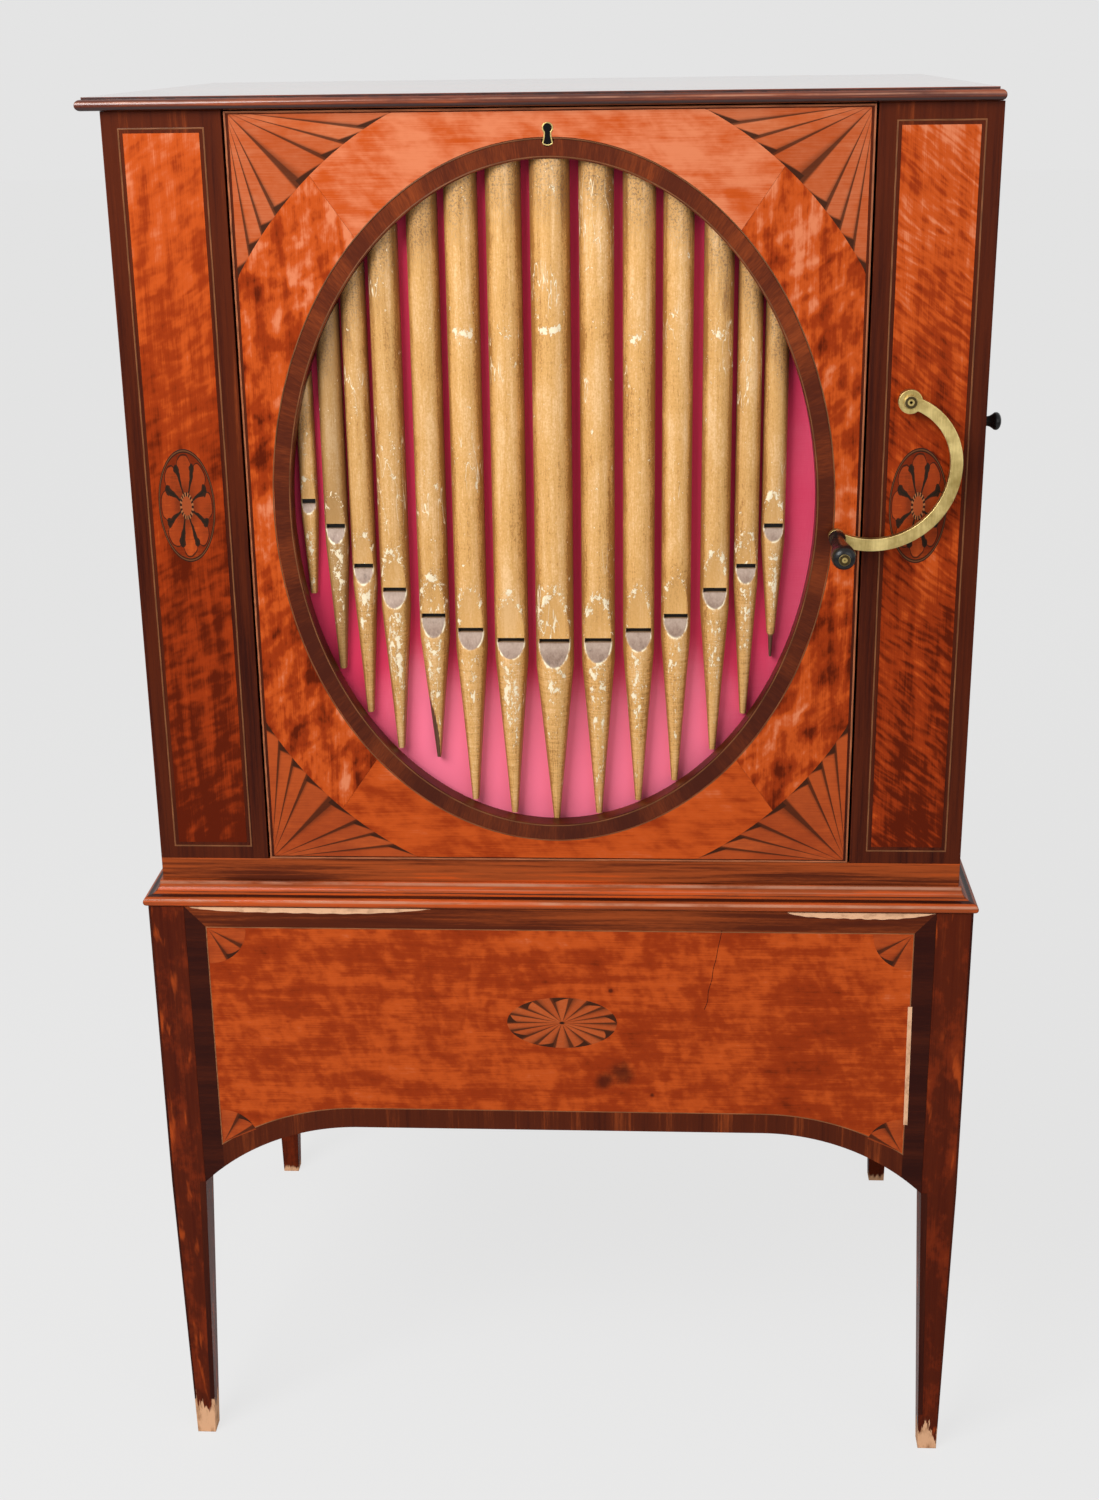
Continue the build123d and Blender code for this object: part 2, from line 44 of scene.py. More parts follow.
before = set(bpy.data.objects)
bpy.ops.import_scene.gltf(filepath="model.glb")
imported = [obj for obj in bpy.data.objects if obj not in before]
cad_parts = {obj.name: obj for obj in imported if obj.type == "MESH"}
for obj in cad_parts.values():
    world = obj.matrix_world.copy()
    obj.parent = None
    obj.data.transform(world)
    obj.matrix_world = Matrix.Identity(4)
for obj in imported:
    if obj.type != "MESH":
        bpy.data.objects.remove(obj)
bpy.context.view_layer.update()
BODY = "organ"
QUARTER, WHOLE = math.pi / 2, 2.0 * math.pi

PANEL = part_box("front_panel")
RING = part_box("oval_banding")
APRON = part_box("front_apron")
CASE_FRONT = PANEL[0].y
STAND_FRONT = APRON[0].y
PANEL_HALF = PANEL[1].x
PANEL_MIDDLE = (PANEL[0].z + PANEL[1].z) / 2
PANEL_RISE = (PANEL[1].z - PANEL[0].z) / 2
OVAL_MIDDLE = (RING[0].z + RING[1].z) / 2
RING_OUTER = (RING[1].x, RING[1].z - OVAL_MIDDLE)
RING_WIDTH = 0.0138
OVAL = (RING_OUTER[0] - RING_WIDTH, RING_OUTER[1] - RING_WIDTH)

# Outer limit of the four panel veneers where the corner fans begin: an oval about the panel's middle
FAN_OVAL = (0.2895, 0.3320)
MITRE_POINTS = ((0.150, 0.219), (-0.155, 0.219), (-0.150, -0.215), (0.152, -0.216))
MITRE_GAP = 0.0003
# How far the panel's bead stands out over the gap at each side, and how proud of the front it is
BEAD_OVERHANG = 0.0011
BEAD_INSET = 0.0002
BEAD_PROUD = 0.0006
# Lines round the oval: place outside the crossband's edge, and height of the ground under it
OVAL_LINES = {"outer": (0.0008, 0.0), "inner": (0.0012 - RING_WIDTH, 0.0006)}
OVAL_LINE_PROUD = 0.0004

# Keyhole about its lining's middle: the round's height and radius, and the right side of the slot below it
KEYHOLE_ROUND = (0.0044, 0.0038)
KEYHOLE_FLARE = ((0.0024, 0.0000), (0.0026, -0.0022), (0.0031, -0.0046), (0.0036, -0.0064), (0.0033, -0.0071),
                 (0.0020, -0.0077), (0.0008, -0.0080))
KEYHOLE_POINT = (0.0, -0.0081)
# heights of the dark leaf that paints the keyhole's shaded inside
KEYHOLE_FILL = (-0.0079, 0.0080)
KEYHOLE_THREAD = (0.0010, 0.0007)

# Pilaster stringing box: distances from the middle of the case and heights
PILASTER_FIELD = (0.2615, 0.3270, 0.5995, 1.1870)
PATERA_PLACES = ((-0.2953, 0.8955), (0.2902, 0.8947))

# Apron: arch crown, flat half-width, bands, oval, and stained places as along, up and radius
ARCH_CROWN = 0.3345
ARCH_FLAT = 0.179
APRON_BAND = 0.019
APRON_FIELD_HALF = 0.3030
APRON_FIELD_TOP = 0.5285
APRON_PATERA = (0.0035, 0.4406)
APRON_SPOTS = ((0.055, 0.392, 0.016), (0.040, 0.384, 0.012), (0.082, 0.371, 0.003), (0.046, 0.472, 0.003))
LOWER_FAN_START = math.radians(24.0)
# Losses: top edge as side, ends and depth; stringing as width to each side, lean and heights; crack as its upper
# end, its run across and down, and the size of its wander
LOST_EDGES = (("left", -0.316, -0.108, 0.0056), ("right", 0.196, 0.320, 0.0062))
LOST_EDGE_TOP = 0.0006
LOST_EDGE_LEAST = 0.0002
LOST_STRINGING = (-0.0020, 0.0016, 0.0012, 0.3450, 0.4600)
CRACK_TOP = (0.1407, 0.5300)
CRACK_RUN = (-0.0134, -0.0750)
CRACK_WANDER = 0.0007
CRACK_WIDTH = 0.0006

# Legs: distance of each edge from the middle above the knee, and how far it moves out at the foot
LEG_INSIDE = (0.3210, 0.0105)
LEG_OUTSIDE = (0.3520, -0.0035)
LEG_FRONT_TAPER = 0.0035
LEG_EDGING_FOOT = 0.038
LEG_EDGING_GAP = 0.0002
OUTER_EDGING_SHARE = -0.35
# Bolt head on the left leg: place, and its profile as run and radius
BOLT_PLACE = (-0.3520, -0.2365, 0.4400)
BOLT_PROFILE = ((0.0, 0.0050), (0.0012, 0.0050), (0.0020, 0.0042), (0.0022, 0.0030))

# Waist moulding and lid: painted highlights on the rounds, broken like rubbed wear, and painted shade in the quirks,
# hollows and under the lid's round, as height, half-width and change of tone
MOULDING_LINES = ((0.5662, 0.0020, 0.85), (0.5543, 0.0016, 0.80), (0.5615, 0.0007, 0.30), (0.5572, 0.0007, -0.70),
                  (0.5592, 0.0005, -0.35), (0.5484, 0.0010, -0.60))
LID_LINES = ((1.2091, 0.0009, -0.50), (1.2062, 0.0009, 0.60), (1.2016, 0.0024, -0.45))

# Crank: its pivot and its grip's pin, as x and z; dirty circles round them, as inner and outer radius
CRANK_PIVOT = (0.2790, 0.9795)
GRIP_PIN = (0.2260, 0.8722)
CRANK_DIRT = ((*CRANK_PIVOT, 0.0024, 0.0050), (*GRIP_PIN, 0.0019, 0.0046), (*GRIP_PIN, -0.0010, 0.0008))
CRANK_NUT_FRONT = -0.2540
CRANK_NUT_PROFILE = ((0.0, 0.0056), (0.0010, 0.0055), (0.0020, 0.0045), (0.0026, 0.0030), (0.0030, 0.0012))
# Grip from the arm outwards, as share of its length and radius: collar, neck, swelling body and rounded end
GRIP_PROFILE = (
    (0.0, 0.0030), (0.0, 0.0056), (0.004, 0.0062), (0.010, 0.0066), (0.025, 0.0068), (0.060, 0.0068), (0.095, 0.0067),
    (0.118, 0.0063), (0.135, 0.0057), (0.150, 0.0052), (0.172, 0.0049), (0.20, 0.0050), (0.26, 0.0053), (0.34, 0.0058),
    (0.44, 0.0064), (0.54, 0.0071), (0.63, 0.0078), (0.71, 0.0084), (0.77, 0.0089), (0.82, 0.0092), (0.86, 0.0094),
    (0.90, 0.0094), (0.935, 0.0091), (0.965, 0.0083), (0.985, 0.0070), (0.996, 0.0052), (1.0, 0.0044),
)
# Stop knob: where it leaves the side, its rod's radii inside, and its profile from there as run and radius
STOP_FACE = 0.3405
STOP_ROD = (0.0030, 0.0034, 0.0034)
STOP_PROFILE = (
    (0.0002, 0.0036), (0.0006, 0.0037), (0.003, 0.0036), (0.007, 0.0037), (0.0105, 0.0043), (0.0128, 0.0056),
    (0.0142, 0.0068), (0.0156, 0.0072), (0.0168, 0.0071), (0.0180, 0.0064), (0.0190, 0.0050), (0.0197, 0.0030),
)
STOP_END_RADIUS = 0.0010

# Mouth heights above the oval's middle, as shares of its half-height, from the middle pipe outwards
MOUTH_SHARES = (-0.412, -0.412, -0.381, -0.337, -0.256, -0.184, -0.061, 0.013)
PIPES = range(1, 15)
MIDDLE_PIPE = 8
SPLIT_PIPE = 5
STUB_PIPE = 14
DULL_PIPES = {2: 0.50, 3: 0.15, 4: 0.12, 5: 0.08, 12: 0.06, 13: 0.10, 14: 0.12}
# Pipes with marks in a row across their upper halves, and how strong; the row's height
ROW_MARKS = {3: 0.5, 5: 0.5, 6: 1.0, 7: 0.6, 8: 1.1, 9: 0.8, 10: 0.4, 12: 0.5}
ROW_HEIGHT = 1.0345
# Lips: half-width and upper height as shares of a pipe's radius, and each lower lip's height from pipe 1 to pipe 14
LIP_SHARE = 0.82
UPPER_LIP_SHARE = 2.75
LOWER_LIPS = (0.008, 0.012, 0.013, 0.013, 0.016, 0.014, 0.013, 0.020, 0.0165, 0.015, 0.0157, 0.013, 0.012, 0.0105)
LIP_EASE = 0.0003
LIP_RIM = 0.0006
BROW_REACH = 0.0022
TIP_RADIUS, SPLIT_TIP_RADIUS = 0.0026, 0.0014
SPLIT_HEIGHT, SPLIT_DEPTH = 0.056, 0.0012
# Stub pipe's foot: heights above its broken tip and radii there as shares of the full radius
STUB_RISES = (0.0, 0.018, 0.020)
STUB_SHARES = (0.10, 0.20, 0.34, 1.0)

# Camera: place, turn about the upright, tilt, roll and lens; lamps: name, place, aim, size and power
CAMERA_PLACE = (0.0841, -1.8234, 1.2500)
CAMERA_TURNS = (-0.0561, -0.3406, -0.01366)
CAMERA_LENS, CAMERA_SENSOR = 48.40, 36.0
LAMPS = (
    ("Key", (-1.10, -1.65, 2.05), (0.0, -0.2, 0.95), (1.3, 1.1), 44.0),
    ("Fill", (1.5, -2.3, 1.5), (0.0, 0.0, 0.8), (1.8, 1.8), 14.0),
)
ROOM_LIGHT, ROOM_STRENGTH = (1.0, 0.99, 0.97), 0.34
FLOOR_GLOW, FLOOR_SHARE = 1.095, 0.86

# Tones that the finishes lay over their main colours
SCORCH = (0.020, 0.0085, 0.0045)
FLOWER_LINE = (0.024, 0.010, 0.006)
FLOWER_STEM = (0.014, 0.012, 0.008)
FLOWER_BEAD_GAP = (0.026, 0.012, 0.008)
STAINED_FOOT = (0.36, 0.17, 0.08)
STAINED_GROUND = (0.330, 0.150, 0.070)
DULL_GILT = (0.210, 0.120, 0.050)
SOOT = (0.130, 0.075, 0.046)
OLD_GESSO = (0.760, 0.560, 0.340)
# lower lip: its grey, and a darker tone for the painted shade and smudges on it
LIP_LIGHT, LIP_DARK = (0.470, 0.360, 0.300), (0.150, 0.092, 0.074)
# painted shade inside the mouth's recess
MOUTH_DARK = (0.006, 0.005, 0.0045)
BREAK_DARK, BREAK_LIGHT = (0.060, 0.026, 0.014), (0.170, 0.075, 0.036)
PIN_DIRT = (0.030, 0.018, 0.010)
HANDLED = (0.040, 0.020, 0.012)


def length(name, description, default):
    return FloatProperty(name=name, description=description, default=default, min=0.0, unit="LENGTH", precision=5)


def count(name, description, default, least):
    return IntProperty(name=name, description=description, default=default, min=least)


def tint(name, description, default):
    return FloatVectorProperty(
        name=name, description=description, default=default, size=3, min=0.0, max=1.0, subtype="COLOR"
    )


class OrganSizes(PropertyGroup):
    """Sizes of the inlay and the pipes' mouths."""

    veneer: length("Veneer", "How far a veneer stands proud of its ground", 0.00025)
    stringing: length("Stringing", "Width of the light inlaid lines", 0.0012)
    stringing_gap: length("Stringing gap", "Dark strip between a pilaster's stringing and its field", 0.0034)
    panel_bead: length("Panel bead", "Width of the light edge round the front panel", 0.0014)
    panel_groove: length("Panel groove", "Dark line between the panel's light edge and its veneers", 0.0012)
    fan_rays: count("Fan rays", "Rays in each corner fan of the panel", 8, 3)
    patera_petals: count("Petals", "Petals in each pilaster oval", 8, 4)
    apron_rays: count("Apron rays", "Rays in the apron's oval", 18, 6)
    apron_fan_rays: count("Apron fan rays", "Rays in each small fan of the apron", 3, 2)
    patera_half_width: length("Patera half-width", "Half the width of a pilaster oval", 0.0230)
    patera_half_height: length("Patera half-height", "Half the height of a pilaster oval", 0.0464)
    apron_oval_half_width: length("Apron oval half-width", "Half the width of the apron's oval", 0.0478)
    apron_oval_half_height: length("Apron oval half-height", "Half the height of the apron's oval", 0.0244)
    apron_fan_radius: length("Apron fan radius", "Radius of the small fans in the apron's corners", 0.0330)
    mouth_slot: length("Mouth slot", "Height of a pipe's mouth", 0.0040)
    leg_edging: length("Leg edging", "Width of the dark strip on a front leg", 0.0055)


class OrganColours(PropertyGroup):
    """Colours of the woods, gilding, cloth and metal."""

    satin_deep: tint("Satinwood, deep", "Darkest figure of the satinwood", (0.100, 0.0100, 0.0018))
    satin_mid: tint("Satinwood, middle", "Middle tone of the satinwood", (0.300, 0.0330, 0.0045))
    satin_light: tint("Satinwood, light", "Light tone of the satinwood", (0.520, 0.0780, 0.0110))
    satin_pale: tint("Satinwood, pale", "Palest figure of the satinwood", (0.680, 0.2050, 0.0920))
    mahogany_deep: tint("Mahogany, deep", "Darkest grain of the mahogany", (0.028, 0.0052, 0.0034))
    mahogany_mid: tint("Mahogany, middle", "Middle tone of the mahogany", (0.085, 0.0145, 0.0048))
    mahogany_light: tint("Mahogany, light", "Light grain and worn edges of the mahogany", (0.330, 0.0620, 0.0130))
    # painted highlight colour for the rounds of the mouldings and the lid's edge, broken like rubbed wear
    rubbed: tint("Rubbed mouldings", "Rubbed rounds of the mouldings", (0.560, 0.2600, 0.1600))
    boxwood: tint("Boxwood", "Light inlaid lines", (0.340, 0.1200, 0.0440))
    bead: tint("Panel bead", "Light edge round the front panel", (0.480, 0.1500, 0.0600))
    bare_wood: tint("Bare wood", "Wood where veneer or polish is lost", (0.780, 0.4400, 0.2500))
    deal: tint("Deal", "Plain timber of the back and inside", (0.300, 0.1600, 0.0750))
    gilt_deep: tint("Gilt, deep", "Shaded gilding", (0.380, 0.1650, 0.0380))
    gilt_mid: tint("Gilt, middle", "Middle tone of the gilding", (0.700, 0.3800, 0.1200))
    gilt_light: tint("Gilt, light", "Bright gilding", (0.860, 0.5450, 0.2650))
    gesso: tint("Gesso", "Ground where the gilding is chipped", (0.980, 0.8700, 0.6300))
    # the silk's own colour in the open, and the deep colour that painted shade darkens it towards between the pipes and
    # near the rim
    silk_light: tint("Silk, light", "Faded silk in the open", (0.980, 0.2000, 0.3150))
    silk_deep: tint("Silk, deep", "Unfaded silk between the pipes", (0.800, 0.0500, 0.1300))
    brass_light: tint("Brass, light", "Rubbed brass", (0.840, 0.6600, 0.2800))
    brass_dull: tint("Brass, dull", "Tarnished brass", (0.380, 0.2650, 0.0780))
    ebony: tint("Ebonised wood", "Black stained wood", (0.008, 0.0075, 0.0078))
    studio: tint("Studio", "Floor and backdrop", (0.776, 0.776, 0.776))


# Meshes worked out as whole arrays


def share_of(steps):
    """Even shares from 0 to 1."""
    return np.linspace(0.0, 1.0, steps)


def quads(rows, columns, around=False):
    """Corner indices of a grid's quads, row by row; with around, the last column joins the first."""
    index = np.arange(rows * columns).reshape(rows, columns)
    if around:
        index = np.hstack([index, index[:, :1]])
    return np.stack([index[:-1, :-1], index[:-1, 1:], index[1:, 1:], index[1:, :-1]], -1).reshape(-1, 4)


def put(name, points, faces, finish, body=BODY, uv=None, values=None, sharp=None, outward=False):
    """Makes one piece from points and faces, with a UV and values per point, and lets it ride on a body."""
    mesh = bpy.data.meshes.new(name)
    mesh.from_pydata(np.asarray(points, float).tolist(), [], [list(map(int, f)) for f in faces])
    if uv is not None:
        corner = np.zeros(len(mesh.loops), int)
        mesh.loops.foreach_get("vertex_index", corner)
        layer = mesh.uv_layers.new(name="UVMap")
        layer.data.foreach_set("uv", np.asarray(uv, np.float32)[corner].ravel())
    for key, value in (values or {}).items():
        mesh.attributes.new(key, "FLOAT", "POINT").data.foreach_set("value", np.asarray(value, np.float32).ravel())
    if outward:
        shape = bmesh.new()
        shape.from_mesh(mesh)
        bmesh.ops.recalc_face_normals(shape, faces=shape.faces)
        shape.to_mesh(mesh)
        shape.free()
    if sharp is not None:
        mesh.polygons.foreach_set("use_smooth", np.ones(len(mesh.polygons), bool))
        mesh.set_sharp_from_angle(angle=math.radians(sharp))
    mesh.update()
    mesh.materials.append(finish)
    piece = bpy.data.objects.new(name, mesh)
    bpy.context.scene.collection.objects.link(piece)
    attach(piece, body)
    return piece


def leaf(name, x, z, ground, proud, finish, uv):
    """A thin veneer: the grid x(s, t), z(s, t) set proud of a front face, a second grid just behind the
    face, and a rim that joins the two. The ground is one depth, or a depth for each point."""
    rows, columns = x.shape
    front = np.stack([x, np.broadcast_to(ground, x.shape) - proud, z], -1).reshape(-1, 3)
    points = np.vstack([front, front + (0.0, proud + 0.0001, 0.0)])
    face = quads(rows, columns)
    index = np.arange(rows * columns).reshape(rows, columns)
    rim = np.concatenate([index[0, :-1], index[:-1, -1], index[-1, :0:-1], index[:0:-1, 0]])
    ahead = np.roll(rim, -1)
    behind = rows * columns
    sides = np.stack([rim, rim + behind, ahead + behind, ahead], -1)
    uv = np.stack(uv, -1).reshape(-1, 2)
    return put(name, points, np.vstack([face, face[:, ::-1] + behind, sides]), finish, uv=np.vstack([uv, uv]))


def inlay_line(name, path, closed, width, ground, proud, finish):
    """A low five-sided section carried along a path in a front face, with mitred turns: at each point the
    section is set across the mean of the two directions that meet there."""
    path = np.asarray(path, float)
    step = np.roll(path, -1, 0) - path
    step /= np.linalg.norm(step, axis=1, keepdims=True)
    across = np.stack([-step[:, 1], step[:, 0]], -1)
    before = np.roll(across, 1, 0)
    if not closed:
        across[-1] = before[-1]
        before[0] = across[0]
    side = (across + before) / (1.0 + (across * before).sum(1, keepdims=True))
    section = np.array([(-0.5, -0.4), (0.5, -0.4), (0.5, 0.75), (0.0, 1.0), (-0.5, 0.75)]) * (width, proud)
    flat = path[:, None] + side[:, None] * section[None, :, :1]
    depth = np.broadcast_to(ground - section[None, :, 1], flat.shape[:2])
    points = np.stack([flat[..., 0], depth, flat[..., 1]], -1).reshape(-1, 3)
    run = np.concatenate([[0.0], np.cumsum(np.linalg.norm(np.diff(path, axis=0), axis=1))])
    uv = np.stack(np.broadcast_arrays(run[:, None], section[None, :, 0]), -1).reshape(-1, 2)
    faces = quads(len(path), 5, around=True).tolist()
    first, last = np.arange(5), (len(path) - 1) * 5 + np.arange(5)
    if closed:
        faces += np.stack([last, np.roll(last, -1), np.roll(first, -1), first], -1).tolist()
    else:
        faces += [first.tolist(), last.tolist()]
    return put(name, points, faces, finish, uv=uv, outward=True)


def turned(name, profile, start, axis, finish, body, sides, sharp=30):
    """A turned piece: a profile of run and radius carried round an axis, closed by a point at each end."""
    along, radius = np.asarray(profile, float).T
    axis = Vector(axis).normalized()
    first = axis.orthogonal().normalized()
    second = axis.cross(first)
    turn = np.linspace(0.0, WHOLE, sides, endpoint=False)
    rim = np.outer(np.cos(turn), first) + np.outer(np.sin(turn), second)
    grid = np.array(start) + along[:, None, None] * np.array(axis) + radius[:, None, None] * rim
    points = np.vstack([grid.reshape(-1, 3), np.array(start) + along[[0, -1], None] * np.array(axis)])
    total = len(along) * sides
    ring = np.arange(sides)
    ahead = np.roll(ring, -1)
    top = total - sides
    faces = quads(len(along), sides, around=True).tolist()
    faces += np.stack([np.full(sides, total), ahead, ring], -1).tolist()
    faces += np.stack([np.full(sides, total + 1), top + ring, top + ahead], -1).tolist()
    return put(name, points, faces, finish, body, sharp=sharp, outward=True)


def round_disc(name, place, half, ground, proud, finish, sides=128):
    """A flat oval leaf: rings of points at even steps out from the middle, a domed rim and a flat back."""
    turn = np.linspace(0.0, WHOLE, sides, endpoint=False)
    out = np.array([0.35, 0.7, 0.985, 1.0, 1.0])
    rise = np.array([1.0, 1.0, 1.0, 0.6, -0.3])
    u, v = np.outer(out, np.cos(turn)), np.outer(out, np.sin(turn))
    y = np.repeat((ground - proud * rise)[:, None], sides, 1)
    grid = np.stack([place[0] + half[0] * u, y, place[1] + half[1] * v], -1).reshape(-1, 3)
    points = np.vstack([grid, [(place[0], ground - proud, place[1])]])
    uv = np.vstack([np.stack([u, v], -1).reshape(-1, 2), [(0.0, 0.0)]])
    ring = np.arange(sides)
    faces = quads(len(out), sides, around=True).tolist()
    faces += np.stack([np.full(sides, len(grid)), np.roll(ring, -1), ring], -1).tolist()
    faces.append((ring + (len(out) - 1) * sides).tolist())
    return put(name, points, faces, finish, uv=uv, outward=True)


def box_grid(x0, x1, z0, z1, columns, rows):
    """A flat grid of a rectangle: x runs along the columns, z along the rows."""
    return np.meshgrid(np.linspace(x0, x1, columns), np.linspace(z0, z1, rows))


def ellipse(half_width, half_height, middle_z, points=240):
    """Points of an ellipse about the case's middle, anticlockwise from its right end as seen from the front."""
    turn = np.linspace(0.0, WHOLE, points, endpoint=False)
    return np.stack([half_width * np.cos(turn), middle_z + half_height * np.sin(turn)], -1)


def oval_reach(turn, half):
    """Distance from an oval's middle to its edge in each direction."""
    return 1.0 / np.sqrt((np.cos(turn) / half[0]) ** 2 + (np.sin(turn) / half[1]) ** 2)


def oval_top(x):
    """Height of the window's upper edge at each x."""
    return OVAL_MIDDLE + OVAL[1] * np.sqrt(1.0 - (x / OVAL[0]) ** 2)


def mouth_height(number):
    return OVAL_MIDDLE + OVAL[1] * MOUTH_SHARES[abs(number - MIDDLE_PIPE)]


def arch(x):
    """Height of the apron's lower edge: level at the crown, then a round that starts level and ends at the leg."""
    reach = APRON[1].x - ARCH_FLAT
    drop = ARCH_CROWN - APRON[0].z
    round_ = (reach**2 + drop**2) / (2.0 * drop)
    out = np.clip(np.abs(x) - ARCH_FLAT, 0.0, reach)
    return ARCH_CROWN - (round_ - np.sqrt(round_**2 - out**2))


def arch_inside(x):
    """Height of the arch band's inner edge: the arch moved square to itself by the band's width."""
    line = np.linspace(APRON[0].x, APRON[1].x, 801)
    slope = np.gradient(arch(line), line)
    size = np.sqrt(1.0 + slope**2)
    return np.interp(x, line - APRON_BAND * slope / size, arch(line) + APRON_BAND / size)


# Materials built from nodes


class Flow:
    """A node's output: arithmetic on it adds the nodes that work it out."""

    def __init__(self, nodes, socket):
        self.nodes, self.socket = nodes, socket

    def math(self, operation, other=0.0, swap=False, clamp=False):
        pair = {0: other, 1: self} if swap else {0: self, 1: other}
        return self.nodes.node("Math", pair, operation=operation, use_clamp=clamp)

    def __add__(self, other):
        return self.math("ADD", other)

    def __sub__(self, other):
        return self.math("SUBTRACT", other)

    def __rsub__(self, other):
        return self.math("SUBTRACT", other, swap=True)

    def __mul__(self, other):
        return self.math("MULTIPLY", other)

    def __truediv__(self, other):
        return self.math("DIVIDE", other)

    def __pow__(self, power):
        return self.math("POWER", power)

    def __abs__(self):
        return self.math("ABSOLUTE")

    __radd__, __rmul__ = __add__, __mul__

    def most(self, other, clamp=False):
        """The larger of two values."""
        return self.math("MAXIMUM", other, clamp=clamp)

    def step(self, low, high):
        """0 below low, 1 above high, eased between; low may be the larger."""
        limits = {"Value": self, "From Min": low, "From Max": high, "To Min": 0.0, "To Max": 1.0}
        return self.nodes.node("MapRange", limits, interpolation_type="SMOOTHSTEP")

    def swing(self, amount):
        """A noise turned into a swing about zero."""
        return (self - 0.5) * amount


class Nodes:
    """A node tree in the making: each method adds a node and gives back its output."""

    def __init__(self, tree):
        self.tree = tree
        tree.nodes.clear()

    def feed(self, socket, value):
        if isinstance(value, Flow):
            self.tree.links.new(value.socket, socket)
        elif socket.type == "RGBA":
            socket.default_value = (*tuple(value)[:3], 1.0)
        else:
            socket.default_value = value

    def add(self, kind, inputs=None, **settings):
        node = self.tree.nodes.new("ShaderNode" + kind)
        for key, value in settings.items():
            setattr(node, key, value)
        for key, value in (inputs or {}).items():
            self.feed(node.inputs[key], value)
        return node

    def node(self, kind, inputs=None, output=0, **settings):
        return Flow(self, self.add(kind, inputs, **settings).outputs[output])

    def seen_by(self, *rays):
        """1 for rays of any of the kinds named."""
        path = self.add("LightPath")
        seen, *others = [Flow(self, path.outputs[ray]) for ray in rays]
        for other in others:
            seen = seen.most(other)
        return seen


class Finish(Nodes):
    """A material in the making."""

    def __init__(self, name):
        self.material = bpy.data.materials.new(name)
        self.material.use_nodes = True
        super().__init__(self.material.node_tree)
        self.out = self.add("OutputMaterial")
        self.shader = self.add("BsdfPrincipled")
        self.tree.links.new(self.shader.outputs[0], self.out.inputs[0])

    def object(self):
        return self.node("TexCoord", output=3)

    def uv(self):
        return self.node("TexCoord", output=2)

    def value(self, name):
        return self.node("Attribute", output=2, attribute_name=name)

    def parts(self, vector):
        return [Flow(self, socket) for socket in self.add("SeparateXYZ", {0: vector}).outputs]

    def height(self):
        return self.parts(self.object())[2]

    def join(self, x, y, z):
        return self.node("CombineXYZ", {0: x, 1: y, 2: z})

    def stretch(self, vector, scale, shift=(0.0, 0.0, 0.0)):
        return self.node("Mapping", {"Vector": vector, "Location": shift, "Scale": scale})

    def noise(self, vector, scale, detail=3.0, rough=0.55, bend=0.0, shift=(0.0, 0.0, 0.0)):
        """Noise with a scale along the grain and one across it, or with three."""
        at = self.stretch(vector, (*scale, scale[-1])[:3], shift)
        inputs = {"Vector": at, "Scale": 1.0, "Detail": detail, "Roughness": rough, "Distortion": bend}
        return self.node("TexNoise", inputs)

    def distance(self, vector, point):
        return self.node("VectorMath", {0: vector, 1: point}, 1, operation="DISTANCE")

    def polar(self):
        """Turn and reach of the UV about its origin."""
        u, v, _ = self.parts(self.uv())
        return v.math("ARCTAN2", u), (u * u + v * v).math("SQRT")

    def mix(self, factor, first, second):
        return self.node("Mix", {0: factor, 6: first, 7: second}, 2, data_type="RGBA")

    def ramp(self, factor, *stops):
        node = self.add("ValToRGB", {0: factor})
        node.color_ramp.interpolation = "EASE"
        points = node.color_ramp.elements
        while len(points) < len(stops):
            points.new(0.5)
        for point, (place, colour) in zip(points, stops):
            point.position = place
            point.color = (*tuple(colour)[:3], 1.0)
        return Flow(self, node.outputs[0])

    def lengthwise(self, grain):
        """Coordinates with the grain's direction first: the piece's own UV, or Object axes in another order."""
        if grain == "uv":
            return self.uv()
        x, y, z = self.parts(self.object())
        return self.join(*{"x": (x, z, y), "y": (y, x, z), "z": (z, x, y)}[grain])

    def worn_edge(self, reach):
        """A rounded normal, and how far it leaves the flat one: 1 at an edge of the piece and 0 on its flats."""
        round_ = self.node("Bevel", {"Radius": reach}, samples=6)
        flat = self.node("NewGeometry", output=3)
        same = self.node("VectorMath", {0: round_, 1: flat}, 1, operation="DOT_PRODUCT")
        return round_, (1.0 - same).step(0.02, 0.25)

    def done(self, colour, rough, height=None, relief=0.0002, normal=None, **sockets):
        self.feed(self.shader.inputs["Base Color"], colour)
        self.feed(self.shader.inputs["Roughness"], rough)
        if height is not None:
            inputs = {"Strength": 1.0, "Distance": relief, "Height": height}
            if normal is not None:
                inputs["Normal"] = normal
            self.feed(self.shader.inputs["Normal"], self.node("Bump", inputs))
        for key, value in sockets.items():
            self.feed(self.shader.inputs[key.replace("_", " ")], value)
        return self.material


def shaded(colour, share):
    """A colour made darker or lighter by a share."""
    return tuple(min(1.0, share * v) for v in colour)


